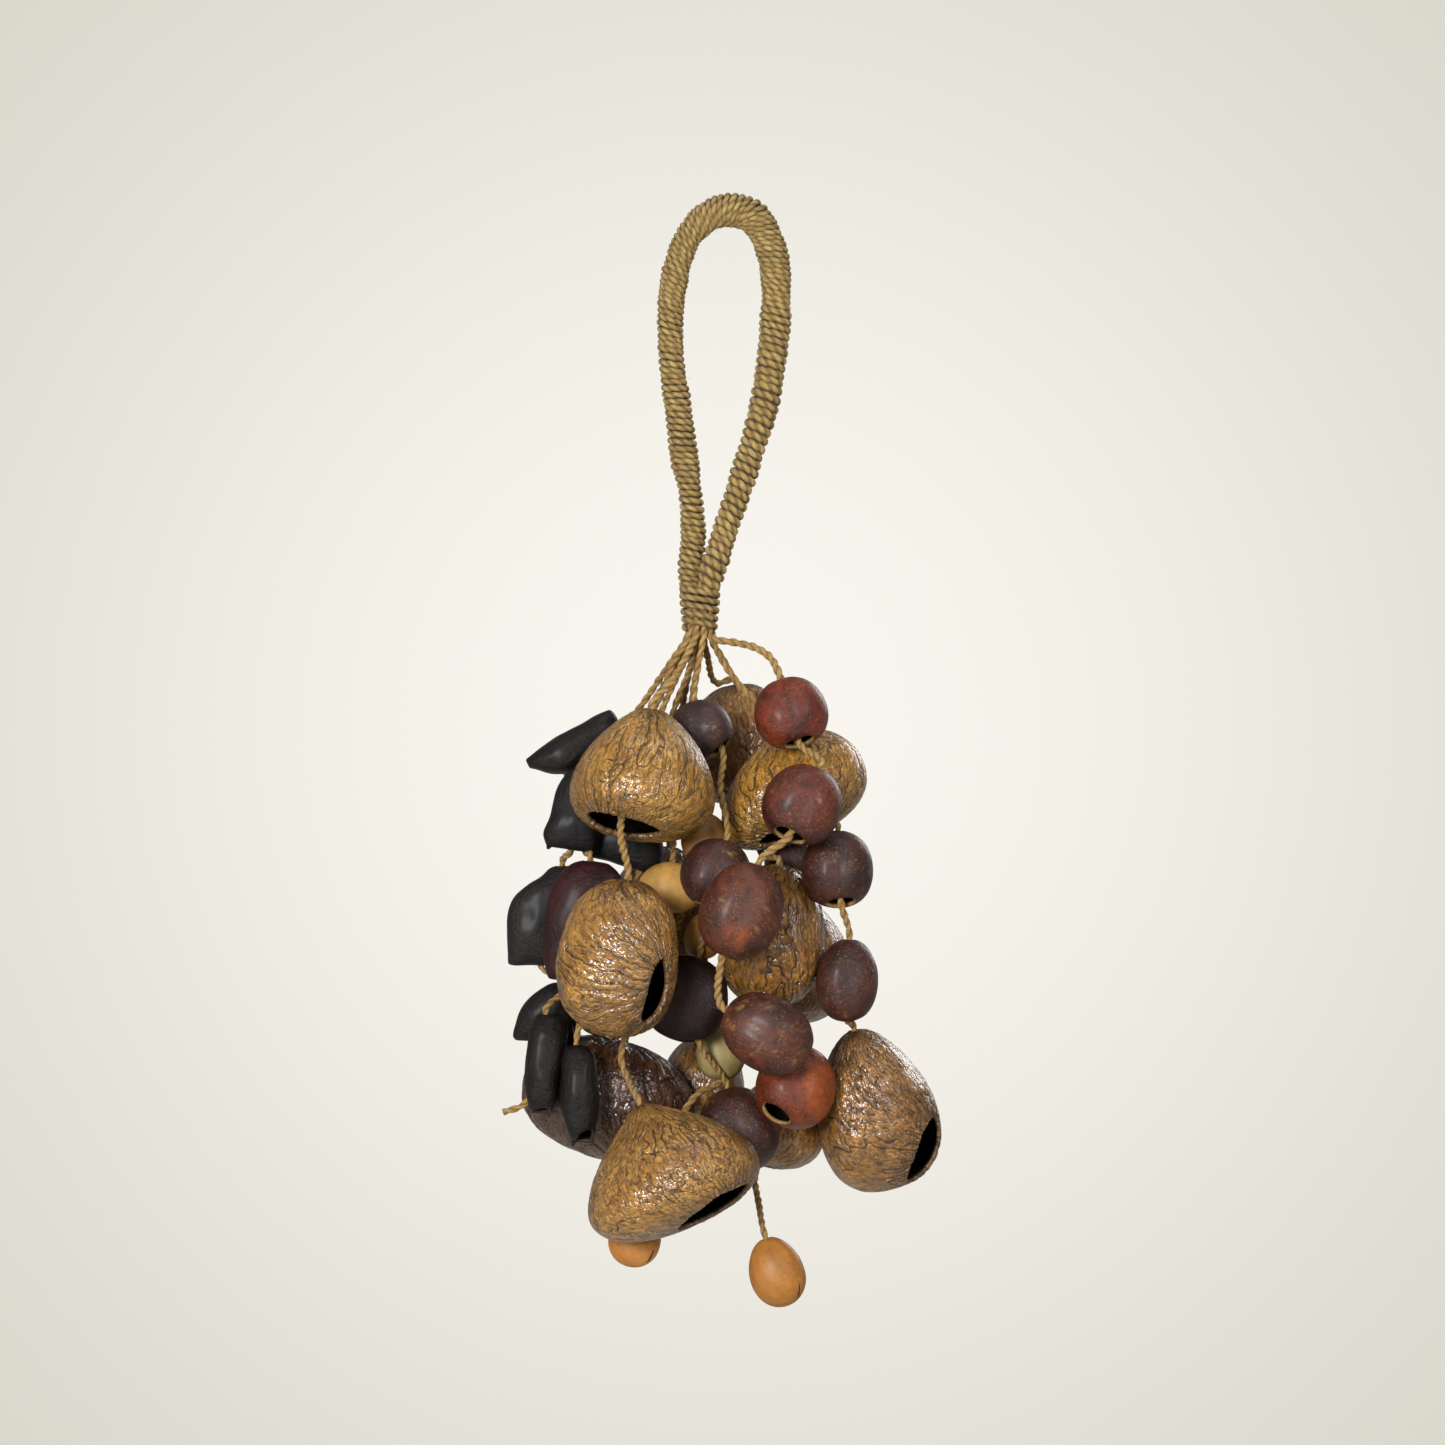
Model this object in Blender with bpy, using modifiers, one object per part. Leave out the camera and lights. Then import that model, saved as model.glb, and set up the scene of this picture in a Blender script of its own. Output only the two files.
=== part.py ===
"""A hanging rattle of cut nutshells: thirteen knotted cords, whipped together under a twine-wrapped loop."""

import math
from typing import NamedTuple

import bmesh
import bpy
from mathutils import Matrix, Vector

# Sizes and places are in millimetres, from the point where the loop hangs on its hook:
# +X to the right, +Y away from the viewer, +Z up.
MM = 0.001

# The loop: two-ply twine wound side by side over the doubled cords.
TWINE_PITCH = 2.1  # from one turn to the next
TWINE_BULGE = 0.42  # how far a turn stands out of the groove beside it
LOOP_TOP_RADIUS = 5.5
LOOP_END_RADIUS = 2.3  # of the unwrapped cores, inside the whipping
LOOP_SIDES = 8

# The whipping: the same twine, wound round both legs and all the cords.
WHIPPING_CENTRE = (-10.3, 0.0)
WHIPPING_TOP = -110.5
WHIPPING_BOTTOM = -125.3
WHIPPING_BORE = 5.2
WHIPPING_TOP_RADIUS = 6.5
WHIPPING_BOTTOM_RADIUS = 5.9
WHIPPING_SIDES = 14
CORE_LENGTH = 6.5  # how far each leg goes down into the whipping
CORE_OFFSET = 2.55  # of each core from the whipping's centre
CORE_ANGLE = 146.0  # of the left leg's core, seen from above, in degrees

# The cords.
CORD_RADIUS = 1.0
THICK_CORD_RADIUS = 1.15
CORD_SIDES = 8
KNOT_RADIUS = 2.2
CORD_GAP = 0.3  # between pieces that touch
CORD_STEP = 8.0  # between points on a free run
CORD_START = 1.0  # below the ends of the cores
CORD_RING = 3.85  # radius of the outer ring of cords in the whipping
CORD_INNER_RING = 1.3

# The nuts.
SHELL_WALL = 1.7
NUT_WALL = 1.3
SEED_WALL = 1.2
HOLE_CLEARANCE = 1.05  # between a cord and the crown hole that it runs through
TAIL_LENGTH = 7.0  # of the cord's end below its last knot


class Kind(NamedTuple):
    """What the nuts of one species have in common."""

    around: int  # faces round the nut
    rings: int  # from the crown hole to the mouth
    wall: float
    squareness: float  # 2 is an ellipsoid, more is boxier
    taper: float  # how much narrower the crown end is
    lobes: float  # depth of the three lobes
    crease: float  # depth of the seam down one side
    bend: float  # how far the ends curve away, as a share of the width
    mouth_angle: float  # half the angle that the mouth takes out, in degrees
    slit: float  # the mouth's width as a share of its length
    colour: tuple
    roughness: float


KINDS = {
    "shell": Kind(10, 6, SHELL_WALL, 2.4, 0.17, 0.035, 0.0, 0.0, 27.0, 0.7, (0.42, 0.24, 0.08), 0.35),
    "nut": Kind(8, 5, NUT_WALL, 2.2, 0.04, 0.0, 0.07, 0.0, 24.0, 0.8, (0.17, 0.045, 0.04), 0.45),
    "husk": Kind(8, 5, SEED_WALL, 2.6, 0.05, 0.0, 0.0, 0.07, 29.0, 0.8, (0.022, 0.017, 0.02), 0.4),
    "seed": Kind(8, 4, SEED_WALL, 2.1, 0.1, 0.0, 0.0, 0.0, 34.0, 0.5, (0.6, 0.34, 0.13), 0.5),
}


class Nut(NamedTuple):
    """One threaded nut: its middle, its width, depth and length, and the ways its crown and mouth face."""

    kind: str
    middle: tuple
    size: tuple
    crown: tuple
    mouth: tuple
    taper: float = 0.0  # how much narrower still its crown end is
    lean: float = 0.0  # how far its crown end is pushed to the side, as a share of half its width
    outline: tuple = ()  # of a flat husk: its left and right edges at heights from crown to foot


NUTS = {
    # Big wrinkled shells.
    "shell_upper_left": Nut("shell", (-27, -26, -169), (42, 36, 41), (0.1, 0.25, 1), (-0.3, -0.5, -0.8), 0.16),
    "shell_middle_left": Nut("shell", (-34.5, -36, -225), (37, 32, 48), (0.1, 0.1, 1), (0.87, -0.3, -0.45), -0.1),
    "shell_lower_front": Nut("shell", (-20.8, -38, -288), (49.5, 38, 41), (-0.38, 0.1, 0.93), (0.42, -0.5, -0.76), 0.12),
    "shell_upper_right": Nut("shell", (18.2, -1, -173.6), (46, 33, 33), (-0.3, 0.1, 1), (0.3, -0.55, -0.78), 0, 0.2),
    "shell_lower_right": Nut("shell", (43.4, -6, -272.6), (36, 34, 51.5), (-0.25, -0.2, 1), (0.8, -0.22, -0.56), 0.12),
    "shell_centre": Nut("shell", (12, -10, -219), (32, 31, 44), (0.1, 0.15, 1), (0.1, 0.2, -0.97), -0.08),
    "shell_lower_left": Nut("shell", (-38.8, 1.5, -270), (54, 31, 37), (0.3, 0, 1), (0.2, 0.5, -0.84), -0.12),
    "shell_lower_back": Nut("shell", (-9.2, 21, -265), (26, 26, 27), (0, -0.1, 1), (-0.3, 0.3, -0.9)),
    "shell_bottom_right": Nut("shell", (13.6, 12, -278.6), (29, 28, 28), (0.1, 0, 1), (-0.42, -0.15, -0.9)),
    "shell_back_top": Nut("shell", (3, 33, -160), (38, 33, 38), (-0.1, -0.15, 1), (0.25, -0.3, -0.92)),
    "shell_back_left": Nut("shell", (-22, 19, -212), (34, 31, 40), (0.1, 0, 1), (0.25, 0.2, -0.95)),
    "shell_back_right": Nut("shell", (18, 24, -228), (36, 32, 40), (0, -0.1, 1), (-0.2, 0.2, -0.96)),
    # Round red-brown nuts.
    "nut_top_right": Nut("nut", (17.7, -21, -150.4), (22.5, 21, 22), (-0.3, 0.1, 1), (0.25, -0.45, -0.85)),
    "nut_right": Nut("nut", (21, -34, -178.3), (24, 22, 24.5), (0.45, 0, 0.9), (-0.35, -0.5, -0.79)),
    "nut_front": Nut("nut", (2.5, -42, -210.5), (25, 23, 30), (0.35, 0.05, 0.95), (-0.4, 0.1, -0.92)),
    "nut_front_low": Nut("nut", (10.2, -40, -247.7), (23, 22, 29), (-0.85, 0, 0.5), (0.85, 0.2, -0.5)),
    "nut_top_middle": Nut("nut", (-10, -4, -155.6), (19.5, 19, 18.5), (-0.2, 0.1, 1), (0.65, -0.35, -0.65)),
    "nut_middle": Nut("nut", (-5.3, -22, -199.6), (21.5, 20, 21.5), (0.3, 0.1, 1), (-0.3, -0.1, -0.95)),
    "nut_low_middle": Nut("nut", (1.5, -12, -279), (24.5, 22, 27), (-0.25, 0.1, 1), (0.2, 0.2, -0.95)),
    "nut_right_upper": Nut("nut", (32, -18.3, -198.4), (22, 22, 24), (0, 0.05, 1), (0.1, -0.45, -0.88)),
    "nut_right_lower": Nut("nut", (35, -16.5, -232.6), (19, 19, 25.5), (0.05, 0, 1), (0.05, 0.2, -0.96)),
    "nut_orange": Nut("nut", (19.2, -22, -265), (24.5, 23, 26), (0.2, 0.3, 0.93), (-0.5, -0.6, -0.62)),
    "nut_behind_right": Nut("nut", (17.7, 14, -196.5), (16, 16, 17), (0, 0.1, 1), (0, 0.5, -0.86)),
    "nut_back_left": Nut("nut", (-30, 17, -172), (21, 20, 21), (0.1, 0, 1), (-0.1, -0.3, -0.95)),
    # Black and dark red husks.
    "husk_wide": Nut("husk", (-14, -17.5, -238.4), (24, 16.5, 26), (0.3, 0.1, 1), (0.3, -0.1, -0.95)),
    "husk_top_left": Nut("husk", (-49.5, 0.8, -159.5), (13, 14, 31), (0.923, 0.05, 0.384), (-0.1, 0.7, -0.7), outline=(
        (15.5, -5, 6), (11, -5.2, 6.2), (6, -4.8, 6.2), (-4.5, -3.6, 8.5), (-11, -2, 5.5), (-15.5, -0.5, 2),
    )),
    "husk_left": Nut("husk", (-47.5, -8.5, -179.5), (18, 12, 27), (0.12, 0.2, 1), (-0.1, 0.2, -1), outline=(
        (13.5, -2, 3.5), (9.5, -5.5, 5), (4.5, -7.5, 5.5), (-3, -8.5, 6), (-9.5, -10, 6.5), (-13.5, -8.5, 6),
    )),
    "husk_under_shell": Nut("husk", (-32.5, 0, -189), (22, 11, 18), (0.28, 0.1, 1), (-0.1, 0.2, -1), outline=(
        (9, -4, 4), (6, -8, 8), (0, -10.5, 11), (-5, -11.5, 12), (-9, -10.5, 11),
    )),
    "husk_red": Nut("husk", (-46, -14, -214.5), (24, 14.5, 37), (0, 0, 1), (0, 0.1, -1), outline=(
        (18.5, -2, 6), (17.5, -4, 8), (14, -8, 11.5), (6, -11.3, 12), (-3, -12.4, 11), (-13.5, -12.2, 8.5),
        (-18.5, -10.8, 6),
    )),
    "husk_grey": Nut("husk", (-58.5, 3, -213.5), (24, 13, 31), (0, 0, 1), (0, 0.1, -1), outline=(
        (15.5, 2, 9), (12.5, -1, 11.5), (9.5, -5.5, 12.5), (5.5, -9.8, 12.5), (-1, -11.6, 12), (-9, -11.7, 11),
        (-15.5, -11.2, 9),
    )),
    "husk_curved": Nut("husk", (-56, -4, -243), (20, 12, 18), (0, 0, 1), (0, 0.2, -1), outline=(
        (9, 0, 6), (7, -4, 7.5), (2.5, -8.7, 8), (-3.5, -11.4, 8), (-7.5, -12.2, 8), (-9, -11, 7),
    )),
    "husk_long": Nut("husk", (-57.5, -19.5, -258.2), (13, 13.5, 30.5), (0, 0, 1), (0, -0.2, -1), outline=(
        (15.2, -3, 3), (13, -4.4, 6.1), (5, -5.9, 6.4), (-3, -6.5, 4.6), (-10, -6, 3.8), (-15.2, -4.7, 1.3),
    )),
    "husk_open": Nut("husk", (-47, -24.5, -267), (12, 13.5, 30), (0, 0.05, 1), (0.2, -0.4, -0.9), outline=(
        (15, -4.2, 2.2), (12.5, -5.2, 4.4), (5, -6, 5.5), (-3, -5.8, 5.7), (-10, -4.3, 5.3), (-15, -2.5, 4),
    )),
    "husk_small": Nut("husk", (-37.5, -9, -243), (20, 12, 14), (0, 0, 1), (0, 0.3, -1)),
    # Pale smooth seeds.
    "seed_middle": Nut("seed", (-19.5, -8, -204.3), (20, 15, 16), (0.1, 0.1, 1), (0.3, 0.1, -0.95)),
    "seed_upper": Nut("seed", (-8.7, -4, -189), (15, 14, 15.5), (0, 0.1, 1), (0, -0.2, -0.98)),
    "seed_inner": Nut("seed", (-9.5, -9, -219.5), (11.6, 11.6, 14.4), (0, 0.1, 1), (0.1, 0, -1)),
    "seed_green": Nut("seed", (-4, -6.5, -255.5), (15, 11.5, 17), (-0.2, 0, 1), (0, -0.1, -1)),
    "seed_bottom_left": Nut("seed", (-30, -20.5, -311.3), (16, 14, 18.5), (0.3, 0.1, 1), (0.35, -0.3, -0.88)),
    "seed_bottom": Nut("seed", (13.3, -14, -322.4), (17, 15, 22), (-0.3, 0, 0.95), (0.45, -0.2, -0.87)),
}


class Cord(NamedTuple):
    """One cord: its ring and angle in the whipping, then the points and nuts it runs through."""

    radius: float
    ring: float
    angle: float
    stops: tuple


CORDS = {
    "cord_front_left": Cord(THICK_CORD_RADIUS, CORD_RING, 252, (
        (-13.5, -7, -131), (-19, -15, -141), "shell_upper_left", "shell_middle_left",
    )),
    "cord_far_left": Cord(CORD_RADIUS, CORD_RING, 216, (
        (-18, -2.5, -134), (-25, -0.5, -149), "husk_top_left",
        (-49, 2, -172), (-48, 2, -187), (-46, -2, -193), "husk_red", "husk_long",
    )),
    "cord_left": Cord(CORD_RADIUS, CORD_RING, 180, (
        (-19, 2, -134), (-33, 9, -154), (-42, 9.5, -164.5), (-45, 2.5, -169.5), "husk_left", "husk_grey", "husk_curved",
        (-60, -10.5, -262), (-64.5, -11, -271), (-71, -11, -273.5),
    )),
    "cord_inner_left": Cord(CORD_RADIUS, CORD_INNER_RING, 180, (
        (-17, 0, -138), (-26, -1, -160), (-29, -2, -176), "husk_under_shell",
        (-32.5, -3, -207), (-35.5, -15, -230), (-47, -22.6, -246), "husk_open",
    )),
    "cord_back_left": Cord(CORD_RADIUS, CORD_RING, 144, (
        (-17, 6, -134), (-27, 15, -152), "nut_back_left",
        (-33, 5, -205), (-36, -4, -226), "husk_small", "shell_lower_left",
    )),
    "cord_arched": Cord(THICK_CORD_RADIUS, CORD_RING, 324, (
        (-5, -6.5, -127.7), (1, -9.5, -128.7), (7, -13, -130.3), (11.4, -16.3, -133.3), "nut_top_right",
        "nut_right", "nut_front", "nut_front_low",
    )),
    "cord_right": Cord(CORD_RADIUS, CORD_RING, 0, (
        (-4, 0, -133), (6, 0, -146), "shell_upper_right",
        (29.5, -16.5, -184.5), "nut_right_upper", "nut_right_lower", "shell_lower_right",
    )),
    "cord_front_middle": Cord(CORD_RADIUS, CORD_RING, 288, (
        (-10.5, -4, -134), "nut_top_middle", (-4, -14, -173), "nut_middle",
        "husk_wide", "nut_low_middle",
    )),
    "cord_back_middle": Cord(CORD_RADIUS, CORD_RING, 72, (
        (-8, 10, -133), (-5, 24, -141), "shell_back_top",
        (8, 12, -192), (10.5, 1, -195), "shell_centre", "nut_orange",
    )),
    "cord_inner_middle": Cord(CORD_RADIUS, CORD_INNER_RING, 60, (
        (-11, 4, -135), (-13, 9, -150), (-11, 9, -162), (-7, 0, -176), "seed_upper",
        (-7.3, -7.5, -205), "seed_inner", "seed_green", (-11, -10, -268), (-21, -15, -284), (-27.5, -18, -298), "seed_bottom_left",
    )),
    "cord_inner_back": Cord(CORD_RADIUS, CORD_INNER_RING, 300, (
        (-13.5, 1.5, -137), (-19, 5, -152), (-19, 4, -176), "seed_middle",
        (-26, -15, -229), (-33, -17.5, -248.5), (-34.4, -20, -256.5), (-32, -25, -263), "shell_lower_front",
    )),
    "cord_back": Cord(CORD_RADIUS, CORD_RING, 108, (
        (-13, 8, -134), (-16, 13.5, -150), (-17, 18, -176), "shell_back_left", "shell_lower_back",
    )),
    "cord_back_right": Cord(CORD_RADIUS, CORD_RING, 36, (
        (-3, 6, -134), (8, 14, -153), (17, 18.5, -175), "nut_behind_right",
        "shell_back_right", "shell_bottom_right", (8.2, -5, -303.5), "seed_bottom",
    )),
}

# The loop's centre line and radius, from the left leg's foot over the top to the right leg's foot.
LEFT_LEG = (
    (-13.3, 3.3, -107.5, 4.0), (-12.4, 3, -96, 4.1), (-12.9, 2.6, -85, 3.9), (-14.2, 2.3, -77, 4.1),
    (-15, 2.1, -72, 4.7), (-16.3, 1.7, -62, 4.5), (-17.3, 1.3, -54, 4.5), (-18.5, 1, -47, 4.1),
    (-19.4, 0.5, -36, 4.1), (-19.4, 0.2, -27, 4.2), (-18.8, 0, -19, 4.5), (-16.6, 0, -9, 4.4),
    (-12.6, 0, -0.8, 4.6), (-6, 0, 4.6, 5.0),
)
RIGHT_LEG = (
    (5.6, 0, 3.9, 5.4), (10.2, 0, -2.5, 5.1), (12.8, 0, -11, 5.1), (13.3, 0, -21, 4.8),
    (13, 0, -30, 5.0), (11.7, -0.4, -42, 4.8), (9.8, -0.9, -54, 4.8), (6.8, -1.5, -65, 4.5),
    (3.7, -2, -75, 4.5), (0.2, -2.5, -86, 4.3), (-3.2, -3.1, -96, 4.3), (-6.6, -3.7, -107.5, 4.1),
)


def vector(point):
    return Vector(point) * MM


def smooth(keys, steps):
    """Points on a smooth curve through the keys, with steps[i] pieces from key i to the next."""
    points = [keys[0]]
    for i, pieces in enumerate(steps):
        a, b = keys[i], keys[i + 1]
        before = keys[i - 1] if i else a + (a - b)
        after = keys[i + 2] if i + 2 < len(keys) else b + (b - a)
        span = (b - a).length
        # Slopes from the neighbours' distances, so that short and long spans both stay smooth.
        start = ((b - a) / span + (a - before) / (a - before).length) / 2
        end = ((after - b) / (after - b).length + (b - a) / span) / 2
        for k in range(1, pieces + 1):
            t = k / pieces
            points.append(
                a * (2 * t**3 - 3 * t**2 + 1)
                + b * (3 * t**2 - 2 * t**3)
                + start * span * (t**3 - 2 * t**2 + t)
                + end * span * (t**3 - t**2)
            )
    return points


def evenly(points, pitch):
    """The same curve, with a point every pitch along it."""
    along = [0.0]
    for a, b in zip(points, points[1:]):
        along.append(along[-1] + (b - a).length)
    count = round(along[-1] / pitch)
    found, i = [], 0
    for k in range(count + 1):
        at = along[-1] * k / count
        while i < len(points) - 2 and along[i + 1] < at:
            i += 1
        share = (at - along[i]) / (along[i + 1] - along[i])
        found.append(points[i].lerp(points[i + 1], share))
    return found


def collection(name):
    made = bpy.data.collections.new(name)
    bpy.context.scene.collection.children.link(made)
    return made


def material(name, colour, roughness):
    made = bpy.data.materials.new(name)
    made.use_nodes = True
    shader = made.node_tree.nodes["Principled BSDF"]
    shader.inputs["Base Color"].default_value = (*colour, 1)
    shader.inputs["Roughness"].default_value = roughness
    shader.inputs["Metallic"].default_value = 0.0
    return made


def tube(name, points, radii, sides, finish, group):
    """A closed tube along the points, as thick at each as its radius says."""
    curve = bpy.data.curves.new(name, "CURVE")
    curve.dimensions = "3D"
    curve.bevel_depth = MM
    curve.bevel_resolution = (sides - 4) // 2
    curve.use_fill_caps = True
    spline = curve.splines.new("POLY")
    spline.points.add(len(points) - 1)
    for spot, place, radius in zip(spline.points, points, radii):
        spot.co = (*place, 1)
        spot.radius = radius
    curve.materials.append(finish)
    made = bpy.data.objects.new(name, curve)
    group.objects.link(made)
    return made


def frame_of(nut):
    """The nut's own axes as columns: Z towards its crown, Y away from the viewer as far as it can."""
    up = Vector(nut.crown).normalized()
    side = Vector((0, 1, 0)).cross(up).normalized()
    return Matrix((side, up.cross(side), up)).transposed()


def edges_at(nut, height):
    """The left and right edges of an outlined husk at a height in its own frame."""
    rows = smooth([Vector(row) for row in nut.outline], [4] * (len(nut.outline) - 1))
    for above, below in zip(rows, rows[1:]):
        if height >= below.x:
            share = min(1, (above.x - height) / (above.x - below.x))
            return above.lerp(below, share).yz
    return rows[-1].yz


def skin_point(nut, way):
    """Where the nut's surface lies in the given unit direction, in its own frame."""
    kind = KINDS[nut.kind]
    n = kind.squareness
    x, y, z = way
    reach = (abs(x) ** n + abs(y) ** n + abs(z) ** n) ** (-1 / n)
    x, y, z = x * reach, y * reach, z * reach
    half = Vector(nut.size) / 2
    if nut.outline:
        left, right = edges_at(nut, half.z * z)
        full = max(1e-6, 1 - abs(z) ** n) ** (1 / n)
        return Vector(((left + right) / 2 + (right - left) / 2 * x / full, half.y * y, half.z * z))
    turn = math.atan2(way.y, way.x)
    level = 1 - way.z * way.z
    taper = kind.taper + nut.taper
    narrow = 1 - taper * z - taper * z * z / 2
    lobe = 1 + kind.lobes * level * math.cos(3 * turn + nut.middle[0])
    from_seam = (turn + math.pi / 2 + math.pi) % math.tau - math.pi
    seam = 1 - kind.crease * level * math.exp(-((from_seam / 0.3) ** 2))
    return Vector((
        half.x * (x * narrow * lobe * seam + kind.bend * (0.4 - z * z) + nut.lean * z),
        half.y * y * narrow * lobe * seam,
        half.z * z,
    ))


def mouth_way(nut):
    """The mouth's direction in the nut's own frame."""
    return (frame_of(nut).transposed() @ Vector(nut.mouth)).normalized()


def skin_rings(nut, hole):
    """Rings of points from the crown hole to the mouth. Their planes turn from the crown's to the mouth's."""
    kind = KINDS[nut.kind]
    facing = mouth_way(nut)
    tilt = Vector((0, 0, -1)).angle(facing)
    axis = Vector((0, 0, -1)).cross(facing)
    axis = axis.normalized() if axis.length > 1e-6 else Vector((1, 0, 0))
    crown = skin_point(nut, Vector((0, 0, 1)))
    first = math.atan2(hole, min(nut.size[:2]) / 2)
    last = math.pi - math.radians(kind.mouth_angle)
    rings = []
    for j in range(kind.rings):
        share = j / (kind.rings - 1)
        angle = first + (last - first) * share
        turned = Matrix.Rotation(tilt * share, 3, axis)
        flat = 1 - (1 - kind.slit) * share**3
        ring = []
        for k in range(kind.around):
            phi = math.tau * k / kind.around - math.pi / 2
            out = Vector((math.cos(phi), math.sin(phi) * flat, 0)) * math.sin(angle)
            way = (turned @ (out + Vector((0, 0, math.cos(angle))))).normalized()
            point = skin_point(nut, way)
            if j == 0:
                point = crown + Vector((math.cos(phi), math.sin(phi), 0)) * hole
            ring.append(point)
        rings.append(ring)
    return rings


def hole_radius(cord_radius, around):
    """The crown hole's corner radius, so that its flats clear the cord."""
    return (cord_radius + HOLE_CLEARANCE) / math.cos(math.pi / around)


def nutshell(name, nut, cord_radius, finish, group):
    """An open skin from the crown hole to the cut mouth, given its wall by Solidify."""
    kind = KINDS[nut.kind]
    rings = skin_rings(nut, hole_radius(cord_radius, kind.around))
    shell = bmesh.new()
    rows = [[shell.verts.new(point * MM) for point in ring] for ring in rings]
    for upper, lower in zip(rows, rows[1:]):
        for k in range(kind.around):
            after = (k + 1) % kind.around
            shell.faces.new((upper[k], lower[k], lower[after], upper[after]))
    mesh = bpy.data.meshes.new(name)
    shell.to_mesh(mesh)
    shell.free()
    mesh.materials.append(finish)
    mesh.shade_smooth()
    made = bpy.data.objects.new(name, mesh)
    group.objects.link(made)
    made.matrix_world = Matrix.Translation(vector(nut.middle)) @ frame_of(nut).to_4x4()
    wall = made.modifiers.new("wall", "SOLIDIFY")
    wall.thickness = kind.wall * MM
    wall.offset = -1
    return made


def threading(nut):
    """The cord's points at one nut: over the crown hole, under it, at the knot, below it and at the mouth."""
    frame = frame_of(nut)
    middle = Vector(nut.middle)
    crown = frame @ skin_point(nut, Vector((0, 0, 1))) + middle
    mouth = frame @ skin_point(nut, mouth_way(nut)) + middle
    up = frame.col[2]
    under = crown - up * (KINDS[nut.kind].wall + CORD_GAP)
    knot = under - up * KNOT_RADIUS * 0.8
    return crown + up * 1.5, under, knot, knot - up * KNOT_RADIUS * 0.7, mouth


def whipped_at(ring, angle, height):
    """A place inside the whipping."""
    turn = math.radians(angle)
    return Vector((
        WHIPPING_CENTRE[0] + ring * math.cos(turn),
        WHIPPING_CENTRE[1] + ring * math.sin(turn),
        height,
    ))


def cord_keys(cord):
    """The cord's key points in millimetres, with its radius at each."""
    start = WHIPPING_TOP - CORE_LENGTH - CORD_START
    keys = [
        (whipped_at(cord.ring, cord.angle, start), cord.radius),
        (whipped_at(cord.ring, cord.angle, WHIPPING_BOTTOM - 1), cord.radius),
    ]
    for stop in cord.stops:
        if isinstance(stop, str):
            over, under, knot, below, mouth = threading(NUTS[stop])
            keys += [(over, cord.radius), (under, cord.radius), (knot, KNOT_RADIUS), (below, cord.radius)]
            if stop != cord.stops[-1]:
                keys.append((mouth, cord.radius))
            else:
                keys.append((below + (mouth - below).normalized() * TAIL_LENGTH, cord.radius))
        else:
            keys.append((Vector(stop), cord.radius))
    return keys


def knotted_cord(name, cord, finish, group):
    keys = cord_keys(cord)
    places = [place for place, _ in keys]
    steps = [max(1, round((b - a).length / CORD_STEP)) for a, b in zip(places, places[1:])]
    points = smooth(places, steps)
    radii = [keys[0][1]]
    for (_, radius), pieces in zip(keys[1:], steps):
        radii += [cord.radius] * (pieces - 1) + [radius]
    return tube(name, [point * MM for point in points], radii, CORD_SIDES, finish, group)


def wrapped_loop(finish, group):
    """The loop: its two cores stand in the whipping, and each turn of twine is a ridge."""
    low, high = WHIPPING_TOP - CORE_LENGTH, WHIPPING_TOP + 1.3
    left = [whipped_at(CORE_OFFSET, CORE_ANGLE, z) for z in (low, high)]
    right = [whipped_at(CORE_OFFSET, CORE_ANGLE + 180, z) for z in (high, low)]
    top = (0, 0, LOOP_TOP_RADIUS, LOOP_TOP_RADIUS)
    # The radius goes along as a fourth coordinate.
    wrapped = [Vector(key) for key in (*LEFT_LEG, top, *RIGHT_LEG)]
    turns = evenly(smooth(wrapped, [5] * (len(wrapped) - 1)), TWINE_PITCH / 2)
    points = left + [turn.xyz for turn in turns] + right
    radii = [turn.w - (TWINE_BULGE if k % 2 else 0) for k, turn in enumerate(turns)]
    radii = [LOOP_END_RADIUS] * 2 + radii + [LOOP_END_RADIUS] * 2
    return tube("wrapped_loop", [point * MM for point in points], radii, LOOP_SIDES, finish, group)


def whipping(finish, group):
    """The whipping: a turned sleeve with a ridge for each turn of its twine."""
    length = WHIPPING_TOP - WHIPPING_BOTTOM
    turns = round(length / TWINE_PITCH)
    profile = bmesh.new()
    corners = [profile.verts.new((WHIPPING_BORE * MM, 0, WHIPPING_TOP * MM))]
    for k in range(2 * turns + 1):
        share = k / (2 * turns)
        radius = WHIPPING_TOP_RADIUS + (WHIPPING_BOTTOM_RADIUS - WHIPPING_TOP_RADIUS) * share
        radius -= TWINE_BULGE if k % 2 == 0 else 0
        height = WHIPPING_TOP - length * share
        corners.append(profile.verts.new((radius * MM, 0, height * MM)))
    corners.append(profile.verts.new((WHIPPING_BORE * MM, 0, WHIPPING_BOTTOM * MM)))
    for a, b in zip(corners, corners[1:] + corners[:1]):
        profile.edges.new((a, b))
    mesh = bpy.data.meshes.new("whipping")
    profile.to_mesh(mesh)
    profile.free()
    mesh.materials.append(finish)
    made = bpy.data.objects.new("whipping", mesh)
    group.objects.link(made)
    made.location = vector((*WHIPPING_CENTRE, 0))
    spin = made.modifiers.new("turned", "SCREW")
    spin.steps = spin.render_steps = WHIPPING_SIDES
    spin.use_merge_vertices = True
    spin.merge_threshold = 0.00001
    return made


def rattle():
    for old in list(bpy.data.objects):
        bpy.data.objects.remove(old)
    group = collection("nutshell_rattle")
    twine = material("twine", (0.42, 0.29, 0.13), 0.85)
    fibre = material("cord", (0.45, 0.27, 0.11), 0.85)
    skins = {name: material(name, kind.colour, kind.roughness) for name, kind in KINDS.items()}
    wrapped_loop(twine, group)
    whipping(twine, group)
    for name, cord in CORDS.items():
        knotted_cord(name, cord, fibre, group)
        for stop in cord.stops:
            if isinstance(stop, str):
                nut = NUTS[stop]
                nutshell(stop, nut, cord.radius, skins[nut.kind], group)


rattle()
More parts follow.
